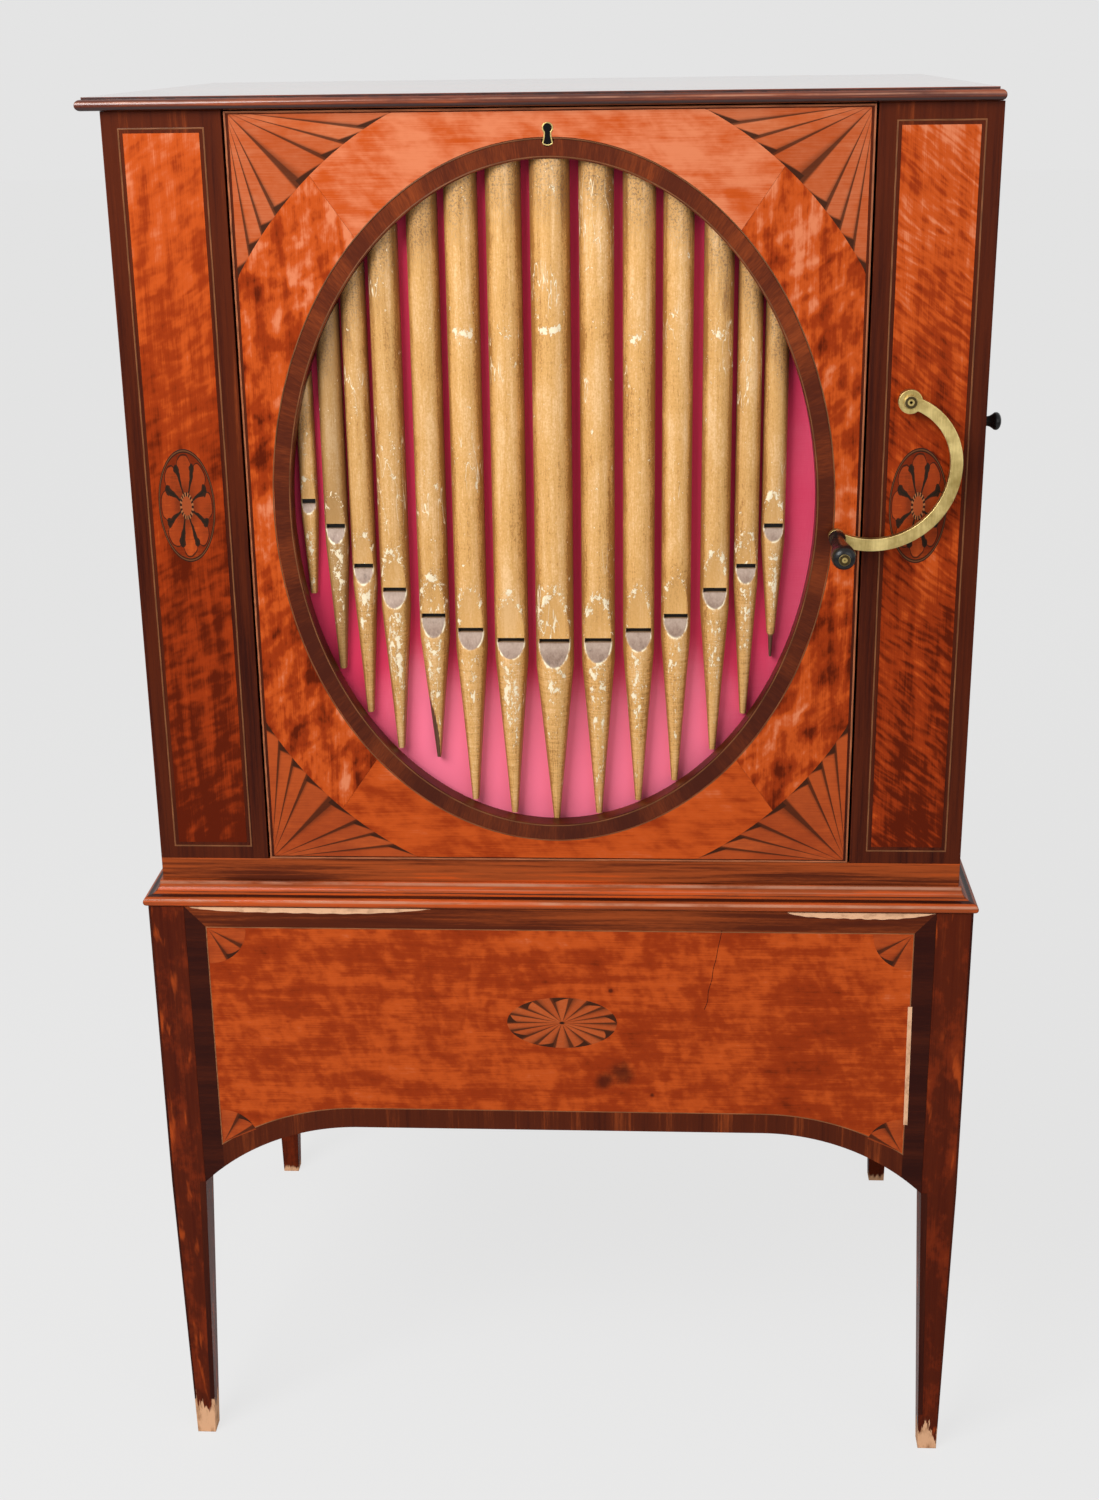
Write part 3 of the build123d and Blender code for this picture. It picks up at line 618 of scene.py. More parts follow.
def satin_colour(made, c, at, mottle, bars=0.0, bar_size=0.009, lean=0.0, lift=0.0, tilt=0.0, ribbons=0.0):
    """Satinwood figure: long ribbons, soft mottled blotches and slanting cross bars over a fine fibre, read as one
    level; tilt paints light and shade: the wood paler towards the top of the case, most at the very top, and deeper
    towards its foot."""
    along, across, deep = made.parts(at)
    drift = made.noise(at, (11.0, 9.0), 1.0, 0.5)
    ribbon = made.noise(at, (9.0, 82.0), 3.0, 0.5, 0.5)
    blotch = made.noise(at, (30.0, 48.0), 2.0, 0.5, 0.15, (3.1, 1.7, 0.4))
    speckle = made.noise(at, (170.0, 260.0), 3.0, 0.55, 0.0, (0.3, 5.7, 0.9))
    fibre = made.noise(at, (26.0, 1500.0), 3.0, 0.6)
    curl = along + across * lean + drift.swing(3.0 * bar_size)
    bar = made.noise(made.join(curl, across, deep), (1.0 / bar_size, 58.0), 2.0, 0.45, 0.3)
    level = drift.swing(0.5 * mottle) + ribbon.swing(ribbons) + blotch.swing(0.7 * mottle)
    level = level + speckle.swing(0.30 * mottle) + bar.swing(bars) + fibre.swing(0.34) + (0.5 + lift)
    # painted light and shade: paler up the case, most above the oval, deeper towards the foot
    if tilt:
        z = made.height()
        above = (z - (OVAL_MIDDLE + 0.08)).most(0.0)
        level = level + (z - OVAL_MIDDLE) * tilt + above * (1.5 * tilt)
    stops = ((0.10, c.satin_deep), (0.38, c.satin_mid), (0.62, c.satin_light), (0.92, c.satin_pale))
    return made.ramp(level, *stops), fibre


def satinwood(name, c, mottle, bars, bar_size, lean, lift, tilt, ribbons, spots=()):
    """Polished satinwood veneer; spots are small stained places, as (along, across, radius)."""
    made = Finish(name)
    at = made.uv()
    colour, fibre = satin_colour(made, c, at, mottle, bars, bar_size, lean, lift, tilt, ribbons)
    scuff = made.noise(at, (90.0, 60.0), 5.0, 0.6)
    for along, across, radius in spots:
        gap = made.distance(at, (along, across, 0.0)) + scuff.swing(0.9 * radius)
        colour = made.mix(gap.step(radius, 0.2 * radius) * 0.75, colour, c.mahogany_deep)
    return made.done(colour, scuff * 0.20 + 0.22, fibre + scuff * 0.5, 0.00002, Specular_IOR_Level=0.05)


def mahogany_colour(made, c, at, lift=0.5, streaky=0.55):
    """Mahogany: long dark streaks and short pores along the grain, with a slow change of tone."""
    tone = made.noise(at, (3.0, 45.0), 3.0, 0.5, 0.2)
    streak = made.noise(at, (9.0, 330.0), 4.0, 0.6, 0.3)
    pore = made.noise(at, (130.0, 2100.0), 2.0, 0.5)
    level = tone.swing(0.4 + 0.6 * streaky) + streak.swing(streaky) + pore.swing(0.2) + lift
    stops = ((0.15, c.mahogany_deep), (0.5, c.mahogany_mid), (0.84, c.mahogany_light), (1.0, c.satin_light))
    return made.ramp(level, *stops), streak


def mahogany(name, c, grain="uv", lift=0.0, edge=0.0, shine=0.24, coat=0.0, tilt=0.0, lines=(), streaky=0.55):
    """Polished mahogany, paler where its edges are rubbed; tilt paints light and shade, paler up the case; lines are
    level light or dark marks, as (height, half-width, change of tone): painted highlights on a moulding's rounds, which
    come and go along it like rubbed wear, and painted shade in its quirks and hollows."""
    made = Finish(name)
    at = made.lengthwise(grain)
    z = made.height()
    # painted light and shade: paler up the case, deeper towards its foot
    level = (z - OVAL_MIDDLE) * tilt + (0.5 + lift)
    broken = made.noise(at, (14.0, 40.0), 5.0, 0.65).step(0.30, 0.62)
    highlight_lines = 0.0
    # light lines are painted highlights, broken along the run like rubbed wear; dark lines are painted shade in quirks
    # and hollows
    for height, half, change in lines:
        near = abs(z - height).step(half, 0.3 * half)
        if change > 0.0:
            highlight_lines = near * broken * change + highlight_lines
        else:
            level = level + near * change
    colour, streak = mahogany_colour(made, c, at, level, streaky)
    # the painted highlights take the light moulding colour
    if lines:
        colour = made.mix(highlight_lines, colour, c.rubbed)
    scuff = made.noise(at, (60.0, 90.0), 5.0, 0.6)
    normal = None
    if edge:
        normal, rubbed = made.worn_edge(edge)
        colour = made.mix(rubbed * scuff.step(0.42, 0.62) * 0.7, colour, c.mahogany_light)
    return made.done(
        colour, scuff * 0.18 + shine, streak + scuff, 0.00003, normal,
        Specular_IOR_Level=0.06, Coat_Weight=coat, Coat_Roughness=0.08,
    )


def leg_wood(name, c, bare_height, fray):
    """Reddish leg veneer with blotches and a few bright flecks, darkened along its rounded edges by painted shade, worn
    to bare wood at the foot up to an uneven height."""
    made = Finish(name)
    at = made.lengthwise("z")
    colour, fibre = satin_colour(made, c, at, mottle=1.2, bars=0.35, bar_size=0.020, lift=-0.34, ribbons=0.4)
    colour = made.mix(0.55, colour, mahogany_colour(made, c, at, 0.42)[0])
    fleck = made.noise(at, (22.0, 95.0), 3.0, 0.5, 0.3, (2.0, 0.6, 0.0))
    colour = made.mix(fleck.step(0.60, 0.74) * 0.6, colour, c.satin_light)
    normal, rubbed = made.worn_edge(0.0016)
    # painted shade: the rounded edges darkened where they turn from the light
    colour = made.mix(rubbed * 0.75, colour, c.mahogany_deep)
    ragged = made.noise(at, (30.0, 260.0), 4.0, 0.6).swing(fray)
    lost = (made.height() + ragged).step(bare_height + 0.0022, bare_height - 0.0022)
    stain = made.noise(at, (60.0, 160.0), 4.0, 0.6).step(0.45, 0.75)
    colour = made.mix(lost, colour, made.mix(stain, c.bare_wood, STAINED_FOOT))
    return made.done(colour, lost * 0.45 + 0.26, fibre + lost * -2.0, 0.00004, normal, Specular_IOR_Level=0.06)


def deal(name, c, grain):
    """Plain unpolished timber with broad growth lines and some dirt."""
    made = Finish(name)
    at = made.lengthwise(grain)
    rings = made.noise(at, (1.5, 55.0), 4.0, 0.55, 0.8)
    fibre = made.noise(at, (20.0, 900.0), 3.0, 0.6)
    dirt = made.noise(at, (12.0, 14.0), 5.0, 0.65)
    level = rings.swing(1.6) + fibre.swing(0.4) + 0.5
    wood = made.ramp(level, (0.1, shaded(c.deal, 0.45)), (0.55, c.deal), (0.95, shaded(c.deal, 1.6)))
    colour = made.mix(dirt.step(0.48, 0.8) * 0.6, wood, shaded(c.deal, 0.25))
    return made.done(colour, dirt * 0.25 + 0.6, rings + fibre, 0.0001)


def ring_band(name, c):
    """Mahogany crossband round the oval: grain running out from the middle, so it is read by angle and radius;
    painted shade darkens it towards the oval's foot.
    """
    made = Finish(name)
    x, y, z = made.parts(made.object())
    up = z - OVAL_MIDDLE
    turn = (up * (RING_OUTER[0] / RING_OUTER[1])).math("ARCTAN2", x)
    out = (x * x + up * up).math("SQRT")
    colour, streak = mahogany_colour(made, c, made.join(out, turn * 0.10, y), 0.58, 0.16)
    # painted shade: darker towards the foot of the oval, paler up to its top
    painted_light_share = z.step(RING[0].z + 0.10, RING[1].z - 0.05)
    colour = made.mix((1.0 - painted_light_share) * 0.45, colour, c.mahogany_deep)
    return made.done(colour, streak * 0.15 + 0.24, streak, 0.00003, Specular_IOR_Level=0.12)


def rays(made, turn, reach, seed, thick, every=1, shade=1.0):
    """Sand-shaded rays: turn counts rays, reach runs from 0 at the root to 1 at the tip. Each ray is pale on one
    side, scorched towards the other over a width that shade sets, more so outwards, with a dark joint that widens
    outwards; across the tip of every first, second or third ray lies a dark wedge, thick at one corner."""
    number = turn.math("FLOOR")
    part = turn - number
    tone = made.node("TexWhiteNoise", {"W": number + seed}, noise_dimensions="1D")
    width = (0.06 + reach * 0.16 + tone * 0.10) * shade
    scorch = ((part - (1.0 - width)) / width).most(0.0) ** 1.5 * 0.82
    reveal = (0.050 + reach * 0.090) * (0.5 + 0.5 * shade)
    joint = part.math("MINIMUM", 1.0 - part).step(reveal, reveal * 0.45)
    wedge = (reach + part**1.3 * thick).step(1.0, 1.022)
    if every > 1:
        wedge = wedge * abs(number.math("MODULO", float(every)) - 1.0).step(0.5, 0.4)
    return scorch.most(joint * 0.80).most(wedge * 0.93, clamp=True), tone


def ray_finish(made, c, dark, tone, pale, lift, tilt=0.0):
    """Satinwood rays, a share of them paled, with the scorched shading laid over."""
    colour, fibre = satin_colour(made, c, made.uv(), mottle=0.45, lift=lift, tilt=tilt)
    colour = made.mix(pale, colour, c.boxwood)
    colour = made.mix(tone * 0.35, colour, c.satin_mid)
    colour = made.mix(dark, colour, SCORCH)
    return made.done(colour, dark * 0.12 + 0.26, fibre, 0.00002, Specular_IOR_Level=0.07)


def corner_fan(name, c, number):
    """Quarter fan in a panel corner: UV holds the distances from the corner; the ray is read from the angle, spread
    evenly along the limiting oval, and the reach from how near that oval is."""
    made = Finish(name)
    u, v, _ = made.parts(made.uv())
    share = v.math("ARCTAN2", u) * (1.0 / QUARTER)
    evened = share + (share * WHOLE).math("SINE") * 0.10
    x = (PANEL_HALF - u) * (1.0 / FAN_OVAL[0])
    z = (PANEL_RISE - v) * (1.0 / FAN_OVAL[1])
    far = (PANEL_HALF / FAN_OVAL[0]) ** 2 + (PANEL_RISE / FAN_OVAL[1]) ** 2
    reach = (far - (x * x + z * z)) * (1.0 / (far - 1.0))
    dark, tone = rays(made, evened * float(number), reach, seed=3.0, thick=0.075)
    return ray_finish(made, c, dark, tone, pale=0.22, lift=0.10, tilt=0.30)


def small_fan(name, c, radius, number):
    """Quarter fan in an apron corner: UV holds the distances from the corner."""
    made = Finish(name)
    turn, reach = made.polar()
    turn = turn * (number / QUARTER)
    dark, tone = rays(made, turn, reach * (1.0 / radius), seed=9.0, thick=0.16, every=3, shade=1.6)
    inner = abs(turn - 0.5 * number).step(0.80, 0.62)
    return ray_finish(made, c, dark * (inner * 0.88 + 0.12), tone * 0.4, pale=0.12, lift=0.02)


def wheel(name, c, number):
    """Oval of rays about its middle, for the apron: UV holds the place in half-widths and half-heights."""
    made = Finish(name)
    turn, reach = made.polar()
    turn = (turn + math.pi) * (number / WHOLE)
    dark, tone = rays(made, turn, reach * 1.02, seed=5.0, thick=0.20, every=2, shade=2.0)
    return ray_finish(made, c, dark.most(reach.step(0.07, 0.03)), tone, pale=0.30, lift=0.12)


def flower(name, c, number):
    """Oval flower for a pilaster: UV holds the place in half-widths and half-heights. Round-tipped petals stand about
    a small beaded ring; between them dark stems widen outwards to a lobed head; two fine lines run round the rim."""
    made = Finish(name)
    at = made.uv()
    turn, reach = made.polar()
    turn = (turn + (math.pi + math.pi / number)) * (number / WHOLE) + made.noise(at, (2.3, 2.3), 2.0).swing(0.5)
    side = abs(abs(turn - turn.math("FLOOR") - 0.5) - 0.5)
    gap = side * reach * (WHOLE / number)
    stem_half = reach.step(0.26, 0.70) * 0.044 + 0.018
    stem = (gap - stem_half).step(0.012, -0.004) * reach.step(0.74, 0.71)
    lobes = made.noise(at, (22.0, 22.0), 2.0).swing(0.009)
    head = (gap * gap + (reach - 0.70) ** 2.0 + lobes).step(0.0098, 0.0066)
    tip = 0.90 - (1.0 - side * 2.0) ** 3.0 * 0.24
    line = (gap.step(0.020, 0.008) * reach.step(tip, tip - 0.02)).most(abs(reach - tip).step(0.022, 0.010))
    petal = (reach - tip).step(0.010, -0.010)
    root = reach.step(0.55, 0.20) * 0.45
    colour, fibre = satin_colour(made, c, made.stretch(at, (0.046, 0.023, 1.0)), mottle=0.7, lift=-0.10)
    ground = made.mix(0.45, colour, c.mahogany_deep)
    colour = made.mix(petal, ground, made.mix(0.10, colour, c.boxwood))
    colour = made.mix(root.most(line * 0.85, clamp=True), colour, FLOWER_LINE)
    colour = made.mix(stem.most(head) * 0.94, colour, FLOWER_STEM)
    colour = made.mix(reach.step(0.20, 0.18), colour, made.mix(0.35, c.satin_mid, c.boxwood))
    bead = (turn * (2.0 * WHOLE)).math("SINE").step(-0.2, 0.4)
    ring = abs(reach - 0.205).step(0.045, 0.025)
    colour = made.mix(ring, colour, made.mix(bead, FLOWER_BEAD_GAP, c.boxwood))
    light = abs(reach - 0.968).step(0.016, 0.008)
    colour = made.mix(reach.step(0.930, 0.940), colour, made.mix(light * 0.35, FLOWER_LINE, c.boxwood))
    return made.done(colour, 0.28, fibre, 0.00002, Specular_IOR_Level=0.07)


def boxwood(name, wood, strength=1.0):
    """Light inlaid line, browner in places along its run: UV holds the run and the place across."""
    made = Finish(name)
    tone = made.noise(made.uv(), (40.0, 900.0), 3.0, 0.6)
    colour = made.ramp(tone, (0.3, shaded(wood, 0.45 * strength)), (0.7, shaded(wood, strength)))
    return made.done(colour, tone * 0.1 + 0.28, tone, 0.00002, Specular_IOR_Level=0.15)


def bare(name, c):
    """Bare ground where veneer is lost."""
    made = Finish(name)
    at = made.uv()
    fibre = made.noise(at, (40.0, 700.0), 4.0, 0.6)
    stain = made.noise(at, (90.0, 140.0), 4.0, 0.6).step(0.45, 0.75)
    return made.done(made.mix(stain * 0.7, c.bare_wood, STAINED_GROUND), fibre * 0.2 + 0.55, fibre, 0.00008)


def gilding(name, c):
    """Old gilding on the pipes: brushed grain up the pipe, painted shade towards each pipe's sides, grime at the top,
    gesso chips and fine scratches where it is knocked, a plainer leaf on the upper lip, a greyed lower lip with a pale
    rim, smudged and darkened away from the mouth by painted shade, the mouth painted near-black as shade in its recess,
    and bare wood at a break. UV holds the distance round and the height."""
    made = Finish(name)
    at = made.uv()
    rise, fall, flank = made.value("rise"), made.value("fall"), made.value("flank")
    streak = made.noise(at, (260.0, 9.0), 4.0, 0.6, 0.2)
    cloud = made.noise(at, (40.0, 14.0), 4.0, 0.6, 0.5)
    grain = made.noise(at, (1100.0, 160.0), 3.0, 0.6)
    fleck = made.noise(at, (620.0, 520.0), 3.0, 0.65)
    lathe = made.noise(at, (30.0, 800.0), 2.0, 0.5).swing(0.8) * rise.step(-0.012, -0.030)
    level = streak.swing(0.8) + cloud.swing(1.0) + grain.swing(0.8) + fleck.swing(0.8) + lathe + 0.57
    # painted shade: each pipe darker towards its sides, where it turns from the light; a little darker well below the
    # mouth
    level = level + flank.step(0.50, 1.0) * -0.46 + rise.step(-0.012, -0.060) * -0.08
    colour = made.ramp(level, (0.12, c.gilt_deep), (0.5, c.gilt_mid), (0.9, c.gilt_light))
    colour = made.mix(made.value("leaf") * 0.45, colour, c.gilt_mid)
    colour = made.mix(made.value("dull"), colour, DULL_GILT)
    soot = (fall + cloud.swing(0.10) + streak.swing(0.05)).step(0.060, 0.0)
    colour = made.mix(soot * (fleck.step(0.46, 0.62) * 0.62 + 0.16), colour, SOOT)

    knock = made.noise(at, (150.0, 95.0), 6.0, 0.68, 0.3)
    fine = made.noise(at, (480.0, 330.0), 4.0, 0.6, 0.2, (4.4, 1.1, 0.0))
    where = made.noise(at, (13.0, 11.0), 2.0, 0.5, 0.0, (1.3, 4.4, 0.0))
    foot = rise.step(-0.150, -0.040) * rise.step(-0.012, -0.022) * flank.step(0.85, 0.35)
    row = abs(made.parts(at)[1] - ROW_HEIGHT + where.swing(0.03)).step(0.007, 0.001)
    row = row * flank.step(0.80, 0.40) * made.value("row")
    worn = foot * 0.115 + made.value("brow") * 0.140 + row * 0.160 + where.swing(0.26)
    chip = (knock - (0.672 - worn)).step(0.0, 0.006).most((fine - (0.695 - worn * 0.8)).step(0.0, 0.010))
    wander = made.noise(at, (80.0, 11.0), 3.0, 0.5, 0.25, (7.3, 2.2, 0.0))
    scratch = abs(wander - 0.5).step(0.0080, 0.003) * where.step(0.600, 0.63) * grain.step(0.36, 0.46)
    pale = chip.most(scratch)
    colour = made.mix(pale, colour, made.mix(grain * 0.5, c.gesso, OLD_GESSO))

    # painted shade across the lower lip's scoop, darker away from the mouth, with random smudges laid over it
    lip_shade_and_smudge = rise.step(-0.003, -0.014) * 0.6 + fine.swing(0.9) + knock.swing(1.2)
    lip = made.mix(lip_shade_and_smudge.math("ADD", 0.12, clamp=True), LIP_LIGHT, LIP_DARK)
    colour = made.mix(made.value("lip") * 0.92, colour, lip)
    colour = made.mix(made.value("rim") * knock.step(0.42, 0.56), colour, c.gesso)
    # painted shade: the mouth's recess coloured near-black
    colour = made.mix(made.value("slot") ** 2.2, colour, MOUTH_DARK)
    colour = made.mix(made.value("bare"), colour, made.mix(streak, BREAK_DARK, BREAK_LIGHT))
    relief = grain * 0.35 + pale * -1.2 + cloud * 0.8
    return made.done(colour, pale * 0.3 + 0.42, relief, 0.00012, Metallic=0.10, Specular_IOR_Level=0.35)


def silk_cloth(name, c):
    """Plain woven silk: fine warp and slubbed weft, faded in soft patches, darkened towards its deep colour by painted
    shade where the pipes stand close and near the oval's rim. UV is in metres on the flat cloth."""
    made = Finish(name)
    at = made.uv()
    weft = made.noise(at, (60.0, 2400.0), 3.0, 0.6)
    warp = made.noise(at, (2600.0, 90.0), 2.0, 0.6)
    patch = made.noise(at, (16.0, 12.0), 4.0, 0.6)
    # painted shade: the silk darkened towards its deep colour between and beside the pipes and near the oval's rim
    level = weft.swing(0.22) + warp.swing(0.18) + patch.swing(0.3) + made.value("kept") * -0.80 + 0.92
    colour = made.ramp(level, (0.08, c.silk_deep), (0.85, c.silk_light))
    return made.done(
        colour, patch * 0.2 + 0.6, weft + warp, 0.00003, Sheen_Weight=0.05, Sheen_Roughness=0.4, Specular_IOR_Level=0.1
    )


def brass(name, c, edge=0.0008, rings=()):
    """Rubbed brass: bright on edges and high spots, dull brown in between, with fine scratches; rings are dark dirty
    circles round a pin that runs front to back, as (x, z, inner radius, outer radius)."""
    made = Finish(name)
    at = made.object()
    dull = made.noise(at, (55.0, 55.0), 4.0, 0.55)
    scratch = made.noise(at, (900.0, 900.0, 90.0), 3.0, 0.6)
    normal, rubbed = made.worn_edge(edge)
    level = dull.swing(1.0) + scratch.swing(0.3) + rubbed * 0.5 + 0.46
    colour = made.ramp(level, (0.20, c.brass_dull), (0.80, c.brass_light))
    x, _, z = made.parts(at)
    for middle_x, middle_z, inner, outer in rings:
        gap = made.distance(made.join(x, 0.0, z), (middle_x, 0.0, middle_z))
        dirt = gap.step(inner, inner + 0.0004) * gap.step(outer, outer - 0.0005)
        colour = made.mix(dirt * 0.9, colour, PIN_DIRT)
    return made.done(colour, dull * 0.3 + 0.26, scratch, 0.00003, normal, Metallic=1.0)


def ebonised(name, c, gloss=0.25):
    """Black stained turned wood, a little brown where it is handled."""
    made = Finish(name)
    wear = made.noise(made.object(), (160.0, 160.0), 5.0, 0.6)
    colour = made.mix(wear.step(0.58, 0.85) * 0.35, c.ebony, HANDLED)
    return made.done(
        colour, wear * 0.25 + 0.16, wear, 0.00005,
        Specular_IOR_Level=gloss, Coat_Weight=0.4 * gloss, Coat_Roughness=0.10,
    )


def dress(finish, *nodes):
    """Gives CAD nodes a finish in place of their plain one."""
    for node in nodes:
        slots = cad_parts[node].data.materials
        for index in range(len(slots)):
            slots[index] = finish


class ORGAN_OT_carcase(Operator):
    """Finish the solid pieces of the case, the lid and the stand"""

    bl_idname = "organ.carcase"
    bl_label = "Carcase"

    def execute(self, context):
        c = context.scene.organ_colours
        upright = mahogany("Mahogany upright", c, "z", lift=-0.10, edge=0.0010, tilt=0.14)
        dress(upright, "left_pilaster", "right_pilaster", "front_panel")
        sides = mahogany("Mahogany sides", c, "z", lift=0.10, edge=0.0012, streaky=0.15)
        dress(sides, "left_side", "right_side")
        level = mahogany("Mahogany level", c, "x", lift=0.22, edge=0.0012, streaky=0.95)
        dress(level, "base_rail", "front_apron")
        depth = mahogany("Mahogany front to back", c, "y", lift=0.10, edge=0.0012, streaky=0.15)
        dress(depth, "left_apron", "right_apron")
        mouldings = {"x": ("waist_moulding_front",), "y": ("waist_moulding_left", "waist_moulding_right")}
        for grain, nodes in mouldings.items():
            moulded = mahogany(f"Waist moulding {grain}", c, grain, lift=0.32, edge=0.0012, shine=0.20, coat=0.15,
                               lines=MOULDING_LINES, streaky=1.0)
            dress(moulded, *nodes)
        lid = mahogany("Lid mahogany", c, "x", lift=0.14, edge=0.0016, shine=0.12, coat=1.0, lines=LID_LINES,
                       streaky=0.6)
        dress(lid, "lid")
        dress(ring_band("Oval crossband", c), "oval_banding")
        dress(deal("Deal level", c, "x"), "stand_top", "case_floor", "back_apron")
        dress(deal("Deal upright", c, "z"), "case_back", "backing_board", "left_cleat", "right_cleat")
        dress(leg_wood("Left leg", c, bare_height=0.0335, fray=0.060), "leg_front_left")
        dress(leg_wood("Right leg", c, bare_height=0.020, fray=0.090), "leg_front_right")
        dress(leg_wood("Back legs", c, bare_height=0.006, fray=0.020), "leg_back_left", "leg_back_right")
        dress(brass("Brass", c), "case_hinge_leaves", "lid_hinge_leaves")
        dress(brass("Crank brass", c, 0.0010, CRANK_DIRT), "crank_axle", "crank_arm")
        return {"FINISHED"}


class ORGAN_OT_pilasters(Operator):
    """Lay the satinwood fields, stringing and oval flowers of the two pilasters"""

    bl_idname = "organ.pilasters"
    bl_label = "Pilasters"

    def execute(self, context):
        s, c = context.scene.organ_sizes, context.scene.organ_colours
        near, far, low, high = PILASTER_FIELD
        gap = s.stringing_gap
        patera = (s.patera_half_width, s.patera_half_height)
        line = boxwood("Boxwood stringing", c.boxwood, 0.75)
        bloom = flower("Pilaster flower", c, s.patera_petals)
        left = satinwood("Left pilaster satinwood", c, mottle=0.45, bars=0.55, bar_size=0.0085, lean=-0.45, lift=-0.20,
                         tilt=0.65, ribbons=0.70)
        right = satinwood("Right pilaster satinwood", c, mottle=0.50, bars=0.85, bar_size=0.0048, lean=0.75,
                          lift=-0.15, tilt=0.60, ribbons=0.70)
        sides = zip(("left", "right"), (-1.0, 1.0), (left, right), PATERA_PLACES)
        for name, side, wood, place in sides:
            x0, x1 = sorted((side * near, side * far))
            x, z = box_grid(x0 + gap, x1 - gap, low + gap, high - gap, 8, 48)
            leaf(f"{name}_pilaster_veneer", x, z, CASE_FRONT, s.veneer, wood, (z, x + 2.0 * side))
            corners = [(x0, low), (x1, low), (x1, high), (x0, high)]
            inlay_line(f"{name}_pilaster_stringing", corners, True, s.stringing, CASE_FRONT, 1.4 * s.veneer, line)
            round_disc(f"{name}_pilaster_flower", place, patera, CASE_FRONT, 1.6 * s.veneer, bloom)
        return {"FINISHED"}


